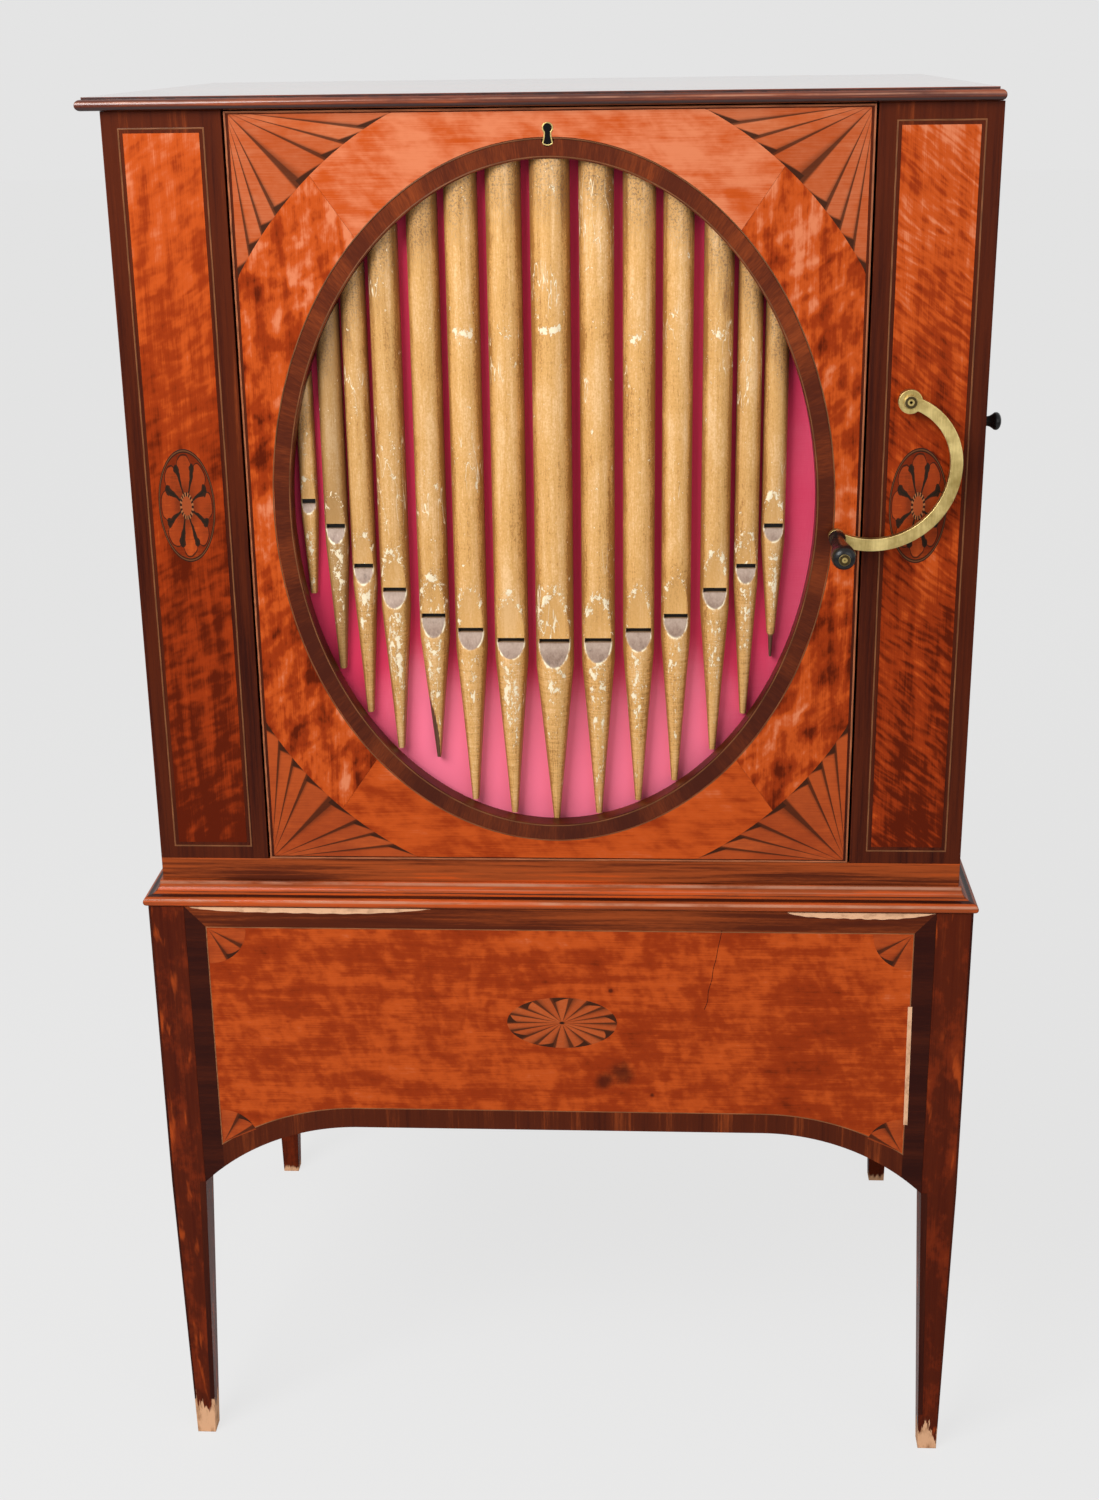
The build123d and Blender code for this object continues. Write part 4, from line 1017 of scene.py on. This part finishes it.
class ORGAN_OT_front_panel(Operator):
    """Lay the four mitred veneers, the corner fans and the lines of the front panel"""

    bl_idname = "organ.front_panel"
    bl_label = "Front panel"

    def execute(self, context):
        s, c = context.scene.organ_sizes, context.scene.organ_colours
        edge = s.panel_bead + s.panel_groove
        self.veneers(s, c, edge)
        fan = corner_fan("Corner fan", c, s.fan_rays)
        for row, sign_z in (("upper", 1.0), ("lower", -1.0)):
            for column, sign_x in (("left", -1.0), ("right", 1.0)):
                self.fan(f"{row}_{column}_fan", sign_x, sign_z, edge, s.veneer, fan)
        inset = s.panel_bead / 2 + BEAD_INSET
        half, high, low = PANEL_HALF + BEAD_OVERHANG - inset, PANEL[1].z - inset, PANEL[0].z + inset
        rim = [(-half, low), (half, low), (half, high), (-half, high)]
        inlay_line("panel_bead", rim, True, s.panel_bead, CASE_FRONT, BEAD_PROUD, boxwood("Panel bead", c.bead))
        line = boxwood("Oval stringing", c.boxwood, 0.70)
        for name, (gap, rise) in OVAL_LINES.items():
            path = ellipse(RING_OUTER[0] + gap, RING_OUTER[1] + gap, OVAL_MIDDLE)
            ground = CASE_FRONT - rise
            inlay_line(f"oval_{name}_stringing", path, True, 0.8 * s.stringing, ground, OVAL_LINE_PROUD, line)
        self.keyhole(s, c)
        return {"FINISHED"}

    def veneers(self, s, c, edge):
        """Four veneers between the crossband and the panel's edge, or the fans' oval where that is nearer: each is a
        grid of turn and share of the way out, between two mitres. Each is cut from another part of its wood."""
        figured = satinwood("Figured satinwood", c, mottle=1.30, bars=0.85, bar_size=0.014, lean=-0.6, lift=-0.03,
                            tilt=0.30, ribbons=1.00)
        plain = satinwood("Plain satinwood", c, mottle=0.50, bars=0.35, bar_size=0.016, lean=0.8, lift=0.11,
                          tilt=0.30, ribbons=0.35)
        right_top, left_top, left_low, right_low = (math.atan2(z, x) for x, z in MITRE_POINTS)
        veneers = (
            ("right", right_low, right_top, True, 9.0),
            ("top", right_top, left_top, False, 4.0),
            ("left", left_top, left_low + WHOLE, True, 5.0),
            ("bottom", left_low, right_low, False, 7.0),
        )
        out = share_of(14)[:, None]
        for name, start, end, upright, cut in veneers:
            turn = np.linspace(start + MITRE_GAP, end - MITRE_GAP, 160)[None, ::-1]
            flat = np.minimum((PANEL_HALF - edge) / np.abs(np.cos(turn)), (PANEL_RISE - edge) / np.abs(np.sin(turn)))
            limit = np.minimum(flat, oval_reach(turn, FAN_OVAL))
            reach = oval_reach(turn, RING_OUTER) * (1.0 - out) + limit * out
            x, z = reach * np.cos(turn), PANEL_MIDDLE + reach * np.sin(turn)
            uv = (z, x + cut) if upright else (x + 3.0, z + cut)
            leaf(f"panel_{name}_veneer", x, z, CASE_FRONT, s.veneer, figured if upright else plain, uv)

    def fan(self, name, sign_x, sign_z, edge, proud, finish):
        """The corner between the panel's edges and the fans' oval: straight rays from the corner to the oval."""
        corner_x, corner_z = PANEL_HALF - edge, PANEL_RISE - edge
        start, end = math.asin(corner_z / FAN_OVAL[1]), math.acos(corner_x / FAN_OVAL[0])
        turn = start + (end - start) * share_of(65)[None, :]
        out = np.linspace(0.004, 1.0, 10)[:, None]
        x = corner_x + (FAN_OVAL[0] * np.cos(turn) - corner_x) * out
        z = corner_z + (FAN_OVAL[1] * np.sin(turn) - corner_z) * out
        if sign_x * sign_z > 0:
            x, z = x[:, ::-1], z[:, ::-1]
        uv = (PANEL_HALF - x, PANEL_RISE - z)
        leaf(name, sign_x * x, PANEL_MIDDLE + sign_z * z, CASE_FRONT, proud, finish, uv)

    def keyhole(self, s, c):
        """A round over a slot that flares to a shallow point, mirrored about its middle: a dark leaf, painted shade for
        the hole's dark inside, fills the outline and a brass thread runs along it."""
        lo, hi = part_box("keyhole_escutcheon")
        middle = (lo.z + hi.z) / 2
        centre, radius = KEYHOLE_ROUND
        turn = np.radians(np.linspace(90.0, -50.0, 22))
        round_ = np.stack([radius * np.cos(turn), centre + radius * np.sin(turn)], -1)
        right = np.vstack([round_[1:], KEYHOLE_FLARE])
        path = np.vstack([round_[:1], right, [KEYHOLE_POINT], (right * (-1.0, 1.0))[::-1]]) + (0.0, middle)
        width, proud = KEYHOLE_THREAD
        metal = bpy.data.materials["Brass"]
        thread = inlay_line("keyhole_thread", path, True, width, CASE_FRONT, proud, metal)
        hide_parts("keyhole_escutcheon")
        up = np.linspace(*KEYHOLE_FILL, 40)
        order = np.argsort(right[:, 1])
        x = np.interp(up, right[order, 1], right[order, 0])[:, None] * np.linspace(-1.0, 1.0, 5)[None, :]
        z = np.broadcast_to(middle + up[:, None], x.shape)
        # painted shade: a black leaf on the face where the keyhole's inside lies in shade
        dark = ebonised("Keyhole dark", c, 0.02)
        leaf("keyhole_painted_shade", x, z, CASE_FRONT, 1.6 * s.veneer, dark, (x, z))


class ORGAN_OT_apron(Operator):
    """Lay the apron's satinwood field, its bands, fans and oval, and the losses in its veneer"""

    bl_idname = "organ.apron"
    bl_label = "Apron"

    def execute(self, context):
        s, c = context.scene.organ_sizes, context.scene.organ_colours
        half = APRON_FIELD_HALF
        across = np.linspace(-half, half, 121)[None, :]
        field = satinwood("Apron satinwood", c, mottle=0.70, bars=0.35, bar_size=0.010, lean=0.25, lift=-0.02, tilt=0.0,
                          ribbons=0.45, spots=APRON_SPOTS)
        up = share_of(24)[:, None]
        x = np.broadcast_to(across, (24, 121))
        z = arch_inside(across) * (1.0 - up) + APRON_FIELD_TOP * up
        leaf("apron_field", x, z, STAND_FRONT, s.veneer, field, (x, z))
        self.bands(s, c, across)
        low = np.stack([across[0], arch_inside(across[0])], -1)
        rim = np.vstack([low, [(half, APRON_FIELD_TOP), (-half, APRON_FIELD_TOP)]])
        line = boxwood("Apron stringing", c.boxwood)
        inlay_line("apron_stringing", rim, True, 0.8 * s.stringing, STAND_FRONT, 1.5 * s.veneer, line)
        self.fans(s, c)
        oval = (s.apron_oval_half_width, s.apron_oval_half_height)
        spokes = wheel("Apron wheel", c, s.apron_rays)
        round_disc("apron_oval", APRON_PATERA, oval, STAND_FRONT, 1.6 * s.veneer, spokes)
        self.losses(s, bare("Bare ground", c))
        return {"FINISHED"}

    def bands(self, s, c, across):
        """Crossbands round the field, mitred at the upper corners: grids between the field's edge and the apron's."""
        half, side, low, top = APRON_FIELD_HALF, APRON[1].x, APRON_FIELD_TOP, APRON[1].z
        share = share_of(4)[:, None]
        x = np.broadcast_to(across, (4, across.size))
        z = arch(across) * (1.0 - share) + arch_inside(across) * share
        leaf("arch_band", x, z, STAND_FRONT, s.veneer, mahogany("Apron crossband", c), (z + 2.0, x))
        dark = mahogany("Apron side crossband", c, lift=-0.26, streaky=0.20)
        up = share_of(40)[:, None]
        for name, sign in (("left", -1.0), ("right", 1.0)):
            out = np.linspace(half, side, 5)[None, ::int(sign)]
            tip = low + (top - low) * (out - half) / (side - half)
            x, z = np.broadcast_to(sign * out, (40, 5)), arch(out) * (1.0 - up) + tip * up
            leaf(f"apron_{name}_band", x, z, STAND_FRONT, s.veneer, dark, (x + 4.0, z))
        x = np.linspace(-1.0, 1.0, 41)[None, :] * (half + (side - half) * share)
        z = np.broadcast_to(low + (top - low) * share, x.shape)
        band = mahogany("Apron top band", c, lift=0.08)
        leaf("apron_top_band", x, z, STAND_FRONT, s.veneer, band, (x, z))

    def fans(self, s, c):
        """Quarter rounds in the field's corners: grids of radius and turn, the lower ones cut by the arch."""
        finish = small_fan("Apron corner fan", c, s.apron_fan_radius, s.apron_fan_rays)
        corner_x = APRON_FIELD_HALF - s.stringing
        rows = (
            ("upper", -1.0, APRON_FIELD_TOP - s.stringing, 0.0),
            ("lower", 1.0, float(arch_inside(corner_x)) + s.stringing, LOWER_FAN_START),
        )
        out = np.linspace(0.01, 1.0, 8)[:, None] * s.apron_fan_radius
        for row, sign_z, corner_z, start in rows:
            for column, sign_x in (("left", 1.0), ("right", -1.0)):
                turn = np.linspace(start, QUARTER, 33)[None, ::-int(sign_x * sign_z)]
                u, v = out * np.cos(turn), out * np.sin(turn)
                x, z = -sign_x * (corner_x - u), corner_z + sign_z * v
                leaf(f"apron_{row}_{column}_fan", x, z, STAND_FRONT, 1.5 * s.veneer, finish, (u, v))

    def losses(self, s, ground):
        """Strips where the top band's edge and a length of stringing are gone, and a fine crack."""
        for name, x0, x1, deep in LOST_EDGES:
            share = share_of(90)[None, :]
            ragged = deep * np.sin(math.pi * np.clip(share * 1.02, 0.0, 1.0)) ** 0.6
            ragged = ragged * (0.90 + 0.05 * np.sin(61.0 * share) + 0.08 * np.sin(9.0 * share + 1.0)) + LOST_EDGE_LEAST
            z = (APRON[1].z - LOST_EDGE_TOP) - ragged * (1.0 - share_of(3)[:, None])
            x = np.broadcast_to(x0 + (x1 - x0) * share, z.shape)
            leaf(f"lost_edge_{name}", x, z, STAND_FRONT, 1.6 * s.veneer, ground, (x, z))
        inner, outer, lean, low, high = LOST_STRINGING
        x, z = box_grid(APRON_FIELD_HALF + inner, APRON_FIELD_HALF + outer, low, high, 3, 24)
        leant = x + lean * (1.0 - share_of(24)[:, None])
        leaf("lost_stringing", leant, z, STAND_FRONT, 1.7 * s.veneer, ground, (z, x))
        share = share_of(26)
        x = CRACK_TOP[0] + CRACK_RUN[0] * share + CRACK_WANDER * np.sin(23.0 * share) * share
        crack = np.stack([x, CRACK_TOP[1] + CRACK_RUN[1] * share], -1)
        dark = bpy.data.materials["Apron side crossband"]
        inlay_line("apron_crack", crack, False, CRACK_WIDTH, STAND_FRONT, 1.3 * s.veneer, dark)


class ORGAN_OT_legs(Operator):
    """Lay the dark edging of the front legs and the bolt head on the left one"""

    bl_idname = "organ.legs"
    bl_label = "Legs"

    def execute(self, context):
        s, c = context.scene.organ_sizes, context.scene.organ_colours
        dark = mahogany("Leg edging", c, lift=-0.22, streaky=0.3)
        knee, foot = APRON[0].z, LEG_EDGING_FOOT
        strips = (
            ("inner", knee, LEG_INSIDE, s.leg_edging),
            ("outer", APRON[1].z, LEG_OUTSIDE, OUTER_EDGING_SHARE * s.leg_edging),
        )
        for name, sign in (("left", -1.0), ("right", 1.0)):
            for place, top, (edge, taper), wide in strips:
                z = foot + (top - foot) * share_of(30)[:, None]
                share = np.clip(1.0 - z / knee, 0.0, 1.0)
                out = np.linspace(LEG_EDGING_GAP * np.sign(wide), wide, 3)[None, :]
                x = np.sort(sign * (edge + taper * share + out * (1.0 - 0.3 * share)), axis=1)
                z = np.broadcast_to(z, x.shape)
                ground = STAND_FRONT + LEG_FRONT_TAPER * share
                leaf(f"leg_{name}_{place}_edging", x, z, ground, s.veneer, dark, (z, x))
        metal = bpy.data.materials["Brass"]
        turned("leg_bolt_head", BOLT_PROFILE, BOLT_PLACE, (-1.0, 0.0, 0.0), metal, BODY, 32)
        return {"FINISHED"}


class ORGAN_OT_pipes(Operator):
    """Turn the gilt dummy pipes with their lips, mouths and tapered feet"""

    bl_idname = "organ.pipes"
    bl_label = "Pipes"

    def execute(self, context):
        s, c = context.scene.organ_sizes, context.scene.organ_colours
        gilt = gilding("Old gilding", c)
        for number in PIPES:
            self.pipe(number, s, gilt)
        return {"FINISHED"}

    def pipe(self, number, s, gilt):
        """Half-round pipe: x = middle + r sin(a), y = axis - r cos(a) at each height, with straight sides back to
        the cloth. Each lip is a scoop with a half-oval outline: at a distance d from the mouth it is
        w = W sqrt(1 - (d / H)^2) wide to each side and so lies r - sqrt(r^2 - w^2) deep; y is the deeper of round and
        scoop, eased where they meet. Below the lip r falls evenly to the tip; at the top the rows follow the oval."""
        name = f"pipe_{number:02d}"
        lo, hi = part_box(name)
        radius, middle = (hi.x - lo.x) / 2, (hi.x + lo.x) / 2
        axis, back, tip = lo.y + radius, hi.y, lo.z
        mouth = mouth_height(number)
        slot_low, slot_high = mouth - s.mouth_slot / 2, mouth + s.mouth_slot / 2
        half, lower, upper = LIP_SHARE * radius, LOWER_LIPS[number - 1], UPPER_LIP_SHARE * radius
        foot_top, leaf_top = slot_low - lower - 0.001, slot_high + upper

        foot = np.linspace(tip, foot_top, 44)
        lip_rows = np.linspace(foot_top, slot_low, 32)[1:]
        z = np.concatenate([foot, lip_rows, [slot_low, slot_high], np.linspace(slot_high, leaf_top, 40)])[:, None]
        mouth_rows = slice(len(foot) + len(lip_rows), len(foot) + len(lip_rows) + 2)
        if number == STUB_PIPE:
            rises = (*(tip + rise for rise in STUB_RISES), foot_top)
            r = np.interp(z, rises, np.array(STUB_SHARES) * radius)
        else:
            r = np.interp(z, (tip, foot_top), (SPLIT_TIP_RADIUS if number == SPLIT_PIPE else TIP_RADIUS, radius))
        turn = np.linspace(-QUARTER, QUARTER, 97)[None, :]
        side = r * np.sin(turn)
        y = axis - r * np.cos(turn)
        under, over = z <= slot_low, z >= slot_high
        above = (z - slot_high) / upper
        away = np.where(under, (slot_low - z) / lower, above)
        width = half * np.sqrt(np.clip(1.0 - np.clip(away, 0.0, None) ** 2, 0.0, None))
        scoop = lo.y + radius - np.sqrt(radius**2 - width**2)
        deeper = 0.5 * (y + scoop + np.sqrt((y - scoop) ** 2 + LIP_EASE**2))
        y = np.where(width > 0.0, np.minimum(deeper, np.maximum(axis, y)), y)
        slot = np.zeros_like(y)
        slot[mouth_rows] = np.abs(side[mouth_rows]) < 0.985 * half
        y = np.where(slot > 0.5, lo.y + 0.9 * radius, y)

        outline = np.sqrt((side / half) ** 2 + away**2)
        edge = (outline - 1.0) * half
        lip = np.where(under, np.clip((1.02 - outline) / 0.07, 0.0, 1.0), 0.0) * (1.0 - slot)
        rim = np.where(under, np.exp(-((edge / LIP_RIM) ** 2)), 0.0) * (1.0 - slot)
        flat = np.where(over, np.clip((1.0 - outline) / 0.06, 0.0, 1.0), 0.0) * (1.0 - slot)
        brow = np.where(over, np.exp(-((edge / BROW_REACH) ** 2)), 0.0) * np.clip(1.6 * above, 0.0, 1.0)
        broken = np.zeros(y.shape)
        height = z - tip
        if number == SPLIT_PIPE:
            torn = 0.92 * np.clip(1.0 - height / SPLIT_HEIGHT, 0.0, 1.0) ** 0.8 + 0.03 * np.sin(900.0 * height)
            broken = np.where(height < SPLIT_HEIGHT, np.clip((torn - 0.5 * (side / r + 1.0)) / 0.04, 0.0, 1.0), 0.0)
            y = np.minimum(y + SPLIT_DEPTH * broken, back - 0.0002)
        if number == STUB_PIPE:
            broken = np.broadcast_to(np.clip((STUB_RISES[-1] - height) / 0.002, 0.0, 1.0), y.shape)

        up = share_of(30)[1:, None]
        x_top = np.broadcast_to(middle + radius * np.sin(turn), (len(up), turn.size))
        x = np.vstack([middle + side, x_top])
        z = np.vstack([np.broadcast_to(z, y.shape), leaf_top + (oval_top(x_top) - 0.0004 - leaf_top) * up])
        y = np.vstack([y, np.broadcast_to(axis - radius * np.cos(turn), x_top.shape)])
        masks = np.array([np.vstack([mask, np.zeros_like(x_top)]) for mask in (lip, rim, flat, brow, slot, broken)])
        grid = np.pad(np.stack([x, y, z], -1), ((1, 1), (1, 1), (0, 0)), "edge")
        grid[[0, -1], :, 1] = grid[:, [0, -1], 1] = back
        masks = np.pad(masks, ((0, 0), (1, 1), (1, 1)), "edge")
        shape = grid.shape[:2]
        around = np.concatenate([[-QUARTER - 0.6], turn[0], [QUARTER + 0.6]]) * radius + 0.37 * number
        uv = np.stack(np.broadcast_arrays(around, grid[..., 2]), -1)
        values = {
            "rise": grid[..., 2] - mouth,
            "fall": oval_top(grid[..., 0]) - grid[..., 2],
            "flank": np.broadcast_to(np.abs(np.sin(np.pad(turn[0], 1, "edge"))), shape),
            "dull": np.full(shape, DULL_PIPES.get(number, 0.0)),
            "row": np.full(shape, ROW_MARKS.get(number, 0.0)),
        }
        values.update(zip(("lip", "rim", "leaf", "brow", "slot", "bare"), masks))
        faces = quads(*shape, around=True)
        points = grid.reshape(-1, 3)
        a, b, c, d = (points[corner] for corner in faces.T)
        size = np.linalg.norm(np.cross(c - a, d - b), axis=1)
        piece = put(f"gilt_{name}", points, faces[size > 1e-12], gilt, uv=uv.reshape(-1, 2),
                    values=values, sharp=32)
        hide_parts(name)


class ORGAN_OT_silk(Operator):
    """Stretch the silk over the backing board behind the pipes"""

    bl_idname = "organ.silk"
    bl_label = "Silk"

    def execute(self, context):
        c = context.scene.organ_colours
        lo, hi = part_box("silk")
        x, z = box_grid(lo.x, hi.x, lo.z, hi.z, 180, 200)
        ripple = np.sin(37.0 * x + 11.0 * z) * np.sin(19.0 * z - 23.0 * x) * 0.00012
        y = np.full_like(x, lo.y + 0.0003) + ripple
        points = np.stack([x, y, z], -1).reshape(-1, 3)
        uv = np.stack([x - lo.x, z - lo.z], -1).reshape(-1, 2)
        cloth = put("silk_cloth", points, quads(*x.shape), silk_cloth("Pink silk", c), uv=uv,
                    values={"kept": self.kept(x, z)}, sharp=180)
        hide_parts("silk")
        return {"FINISHED"}

    def kept(self, x, z):
        """How deep the painted shade on the silk is: full where two neighbouring pipes stand within 5 mm of each other,
        none where they are 20 mm apart; more close beside a pipe, towards the sides, the upper left and the top, where
        the pipes and the oval's rim shade it."""
        middles, halves = [], []
        for number in PIPES:
            lo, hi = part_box(f"pipe_{number:02d}")
            foot_top = mouth_height(number) - LOWER_LIPS[number - 1]
            middles.append((hi.x + lo.x) / 2)
            halves.append(np.interp(z, (lo.z, foot_top), (0.0, (hi.x - lo.x) / 2)))
        gap, beside = np.full_like(x, 0.06), np.zeros_like(x)
        pairs = zip(middles, middles[1:], halves, halves[1:])
        for middle, following, half, following_half in pairs:
            room = following - middle - half - following_half
            gap = np.where((x >= middle) & (x < following), room, gap)
        for middle, half in zip(middles, halves):
            near = np.exp(-np.clip(np.abs(x - middle) - half, 0.0, None) / 0.004) * np.clip(half / 0.006, 0.0, 1.0)
            beside = np.maximum(beside, near)
        open_ = np.clip((gap - 0.005) / 0.015, 0.0, 1.0)
        # painted shadow of the oval's rim on the upper left, at the sides and along the top
        left = 0.75 * np.clip((-x - 0.13) / 0.05, 0.0, 1.0) * np.clip((z - 0.72) / 0.08, 0.0, 1.0)
        sides = 0.75 * np.clip((np.abs(x) - 0.10) / 0.06, 0.0, 1.0)
        high = 0.60 * np.clip((z - 0.95) / 0.10, 0.0, 1.0)
        return np.clip(1.0 - open_ * open_ * (3.0 - 2.0 * open_) + 0.22 * beside + left + sides + high, 0.0, 1.0)


class ORGAN_OT_handles(Operator):
    """Turn the crank's grip and nut and the stop knob"""

    bl_idname = "organ.handles"
    bl_label = "Handles"

    def execute(self, context):
        black = ebonised("Ebonised wood", context.scene.organ_colours)
        forward, outward = (0.0, -1.0, 0.0), (1.0, 0.0, 0.0)
        lo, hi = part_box("crank_grip")
        pin_end = ((lo.x + hi.x) / 2, hi.y, (lo.z + hi.z) / 2)
        profile = np.array(GRIP_PROFILE) * (hi.y - lo.y, 1.0)
        grip = turned("turned_grip", profile, pin_end, forward, black, "grip", 64, 40)
        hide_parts("crank_grip")
        boss = (CRANK_PIVOT[0], CRANK_NUT_FRONT, CRANK_PIVOT[1])
        metal = bpy.data.materials["Crank brass"]
        turned("crank_nut", CRANK_NUT_PROFILE, boss, forward, metal, "crank", 40)
        lo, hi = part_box("stop_knob")
        inner_end = (lo.x, (lo.y + hi.y) / 2, (lo.z + hi.z) / 2)
        face = STOP_FACE - lo.x
        rod = list(zip((0.0, 0.0, face), STOP_ROD))
        profile = np.vstack([rod, np.array(STOP_PROFILE) + (face, 0.0), [(hi.x - lo.x, STOP_END_RADIUS)]])
        knob = turned("turned_stop_knob", profile, inner_end, outward, black, "stop", 56, 40)
        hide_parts("stop_knob")
        return {"FINISHED"}


class ORGAN_OT_stage(Operator):
    """Set the floor, the soft lamps, the plain world and the camera"""

    bl_idname = "organ.stage"
    bl_label = "Stage"

    def execute(self, context):
        scene = context.scene
        pale = scene.organ_colours.studio
        self.floor(scene, pale)
        self.world(scene, pale)
        for lamp in LAMPS:
            self.lamp(scene, *lamp)
        self.camera(scene)
        scene.view_settings.view_transform = "Standard"
        return {"FINISHED"}

    def floor(self, scene, pale):
        """A wide flat grid in the backdrop's colour: part of it glows plainly, part takes light and so keeps shadow."""
        x, y = np.meshgrid(np.linspace(-12.0, 12.0, 13), np.linspace(-6.0, 18.0, 13))
        points = np.stack([x, y, np.zeros_like(x)], -1).reshape(-1, 3)
        mesh = bpy.data.meshes.new("Floor")
        mesh.from_pydata(points.tolist(), [], quads(*x.shape).tolist())
        made = Finish("Pale floor")
        speck = made.noise(made.object(), (30.0, 30.0), 3.0)
        made.done(made.mix(speck * 0.02, pale, (0.6, 0.6, 0.6)), 0.9, Specular_IOR_Level=0.0)
        seen = made.seen_by("Is Camera Ray", "Is Transmission Ray") * FLOOR_SHARE
        glow = made.node("Emission", {"Color": pale, "Strength": FLOOR_GLOW})
        lit = Flow(made, made.shader.outputs[0])
        made.feed(made.out.inputs[0], made.node("MixShader", {0: seen, 1: lit, 2: glow}))
        mesh.materials.append(made.material)
        floor = bpy.data.objects.new("Floor", mesh)
        scene.collection.objects.link(floor)

    def world(self, scene, pale):
        """Plain light from all round; rays from the camera, and in gloss, see the backdrop's own colour."""
        scene.world = bpy.data.worlds.new("Studio")
        scene.world.use_nodes = True
        made = Nodes(scene.world.node_tree)
        light = made.node("Background", {"Color": ROOM_LIGHT, "Strength": ROOM_STRENGTH})
        backdrop = made.node("Background", {"Color": pale})
        seen = made.seen_by("Is Camera Ray", "Is Glossy Ray", "Is Transmission Ray")
        made.add("OutputWorld", {0: made.node("MixShader", {0: seen, 1: light, 2: backdrop})})

    def lamp(self, scene, name, place, aim, size, power):
        data = bpy.data.lights.new(name, "AREA")
        data.shape = "RECTANGLE"
        data.size, data.size_y = size
        data.energy = power
        lamp = bpy.data.objects.new(name, data)
        lamp.location = place
        lamp.rotation_euler = (Vector(aim) - Vector(place)).to_track_quat("-Z", "Y").to_euler()
        scene.collection.objects.link(lamp)

    def camera(self, scene):
        """The photograph's standpoint: a yaw, a pitch and a small roll about the line of sight."""
        yaw, pitch, roll = CAMERA_TURNS
        ahead = Vector((math.sin(yaw), math.cos(yaw), 0.0))
        right = Vector((math.cos(yaw), -math.sin(yaw), 0.0))
        sight = math.cos(pitch) * ahead + Vector((0.0, 0.0, math.sin(pitch)))
        rise = -math.sin(pitch) * ahead + Vector((0.0, 0.0, math.cos(pitch)))
        side = math.cos(roll) * right + math.sin(roll) * rise
        top = math.cos(roll) * rise - math.sin(roll) * right
        data = bpy.data.cameras.new("Camera")
        data.sensor_width = CAMERA_SENSOR
        data.lens = CAMERA_LENS
        camera = bpy.data.objects.new("Camera", data)
        turn = Matrix((side, top, -sight)).transposed().to_4x4()
        camera.matrix_world = Matrix.Translation(CAMERA_PLACE) @ turn
        scene.collection.objects.link(camera)
        scene.camera = camera


OPERATORS = (
    ORGAN_OT_carcase,
    ORGAN_OT_pilasters,
    ORGAN_OT_front_panel,
    ORGAN_OT_apron,
    ORGAN_OT_legs,
    ORGAN_OT_pipes,
    ORGAN_OT_silk,
    ORGAN_OT_handles,
    ORGAN_OT_stage,
)


class ORGAN_PT_panel(Panel):
    """The organ's steps and its sizes and colours"""

    bl_idname = "ORGAN_PT_panel"
    bl_label = "Chamber Organ"
    bl_space_type = "VIEW_3D"
    bl_region_type = "UI"
    bl_category = "Organ"

    def draw(self, context):
        layout = self.layout
        for operator in OPERATORS:
            layout.operator(operator.bl_idname)
        for group in (context.scene.organ_sizes, context.scene.organ_colours):
            column = layout.column()
            for key in group.__annotations__:
                column.prop(group, key)


CLASSES = (OrganSizes, OrganColours, *OPERATORS, ORGAN_PT_panel)


def register():
    for item in CLASSES:
        bpy.utils.register_class(item)
    bpy.types.Scene.organ_sizes = PointerProperty(type=OrganSizes)
    bpy.types.Scene.organ_colours = PointerProperty(type=OrganColours)


def unregister():
    del bpy.types.Scene.organ_colours
    del bpy.types.Scene.organ_sizes
    for item in reversed(CLASSES):
        bpy.utils.unregister_class(item)


def main():
    register()
    bpy.ops.organ.carcase()
    bpy.ops.organ.pilasters()
    bpy.ops.organ.front_panel()
    bpy.ops.organ.apron()
    bpy.ops.organ.legs()
    bpy.ops.organ.pipes()
    bpy.ops.organ.silk()
    bpy.ops.organ.handles()
    bpy.ops.organ.stage()


if __name__ == "__main__":
    main()
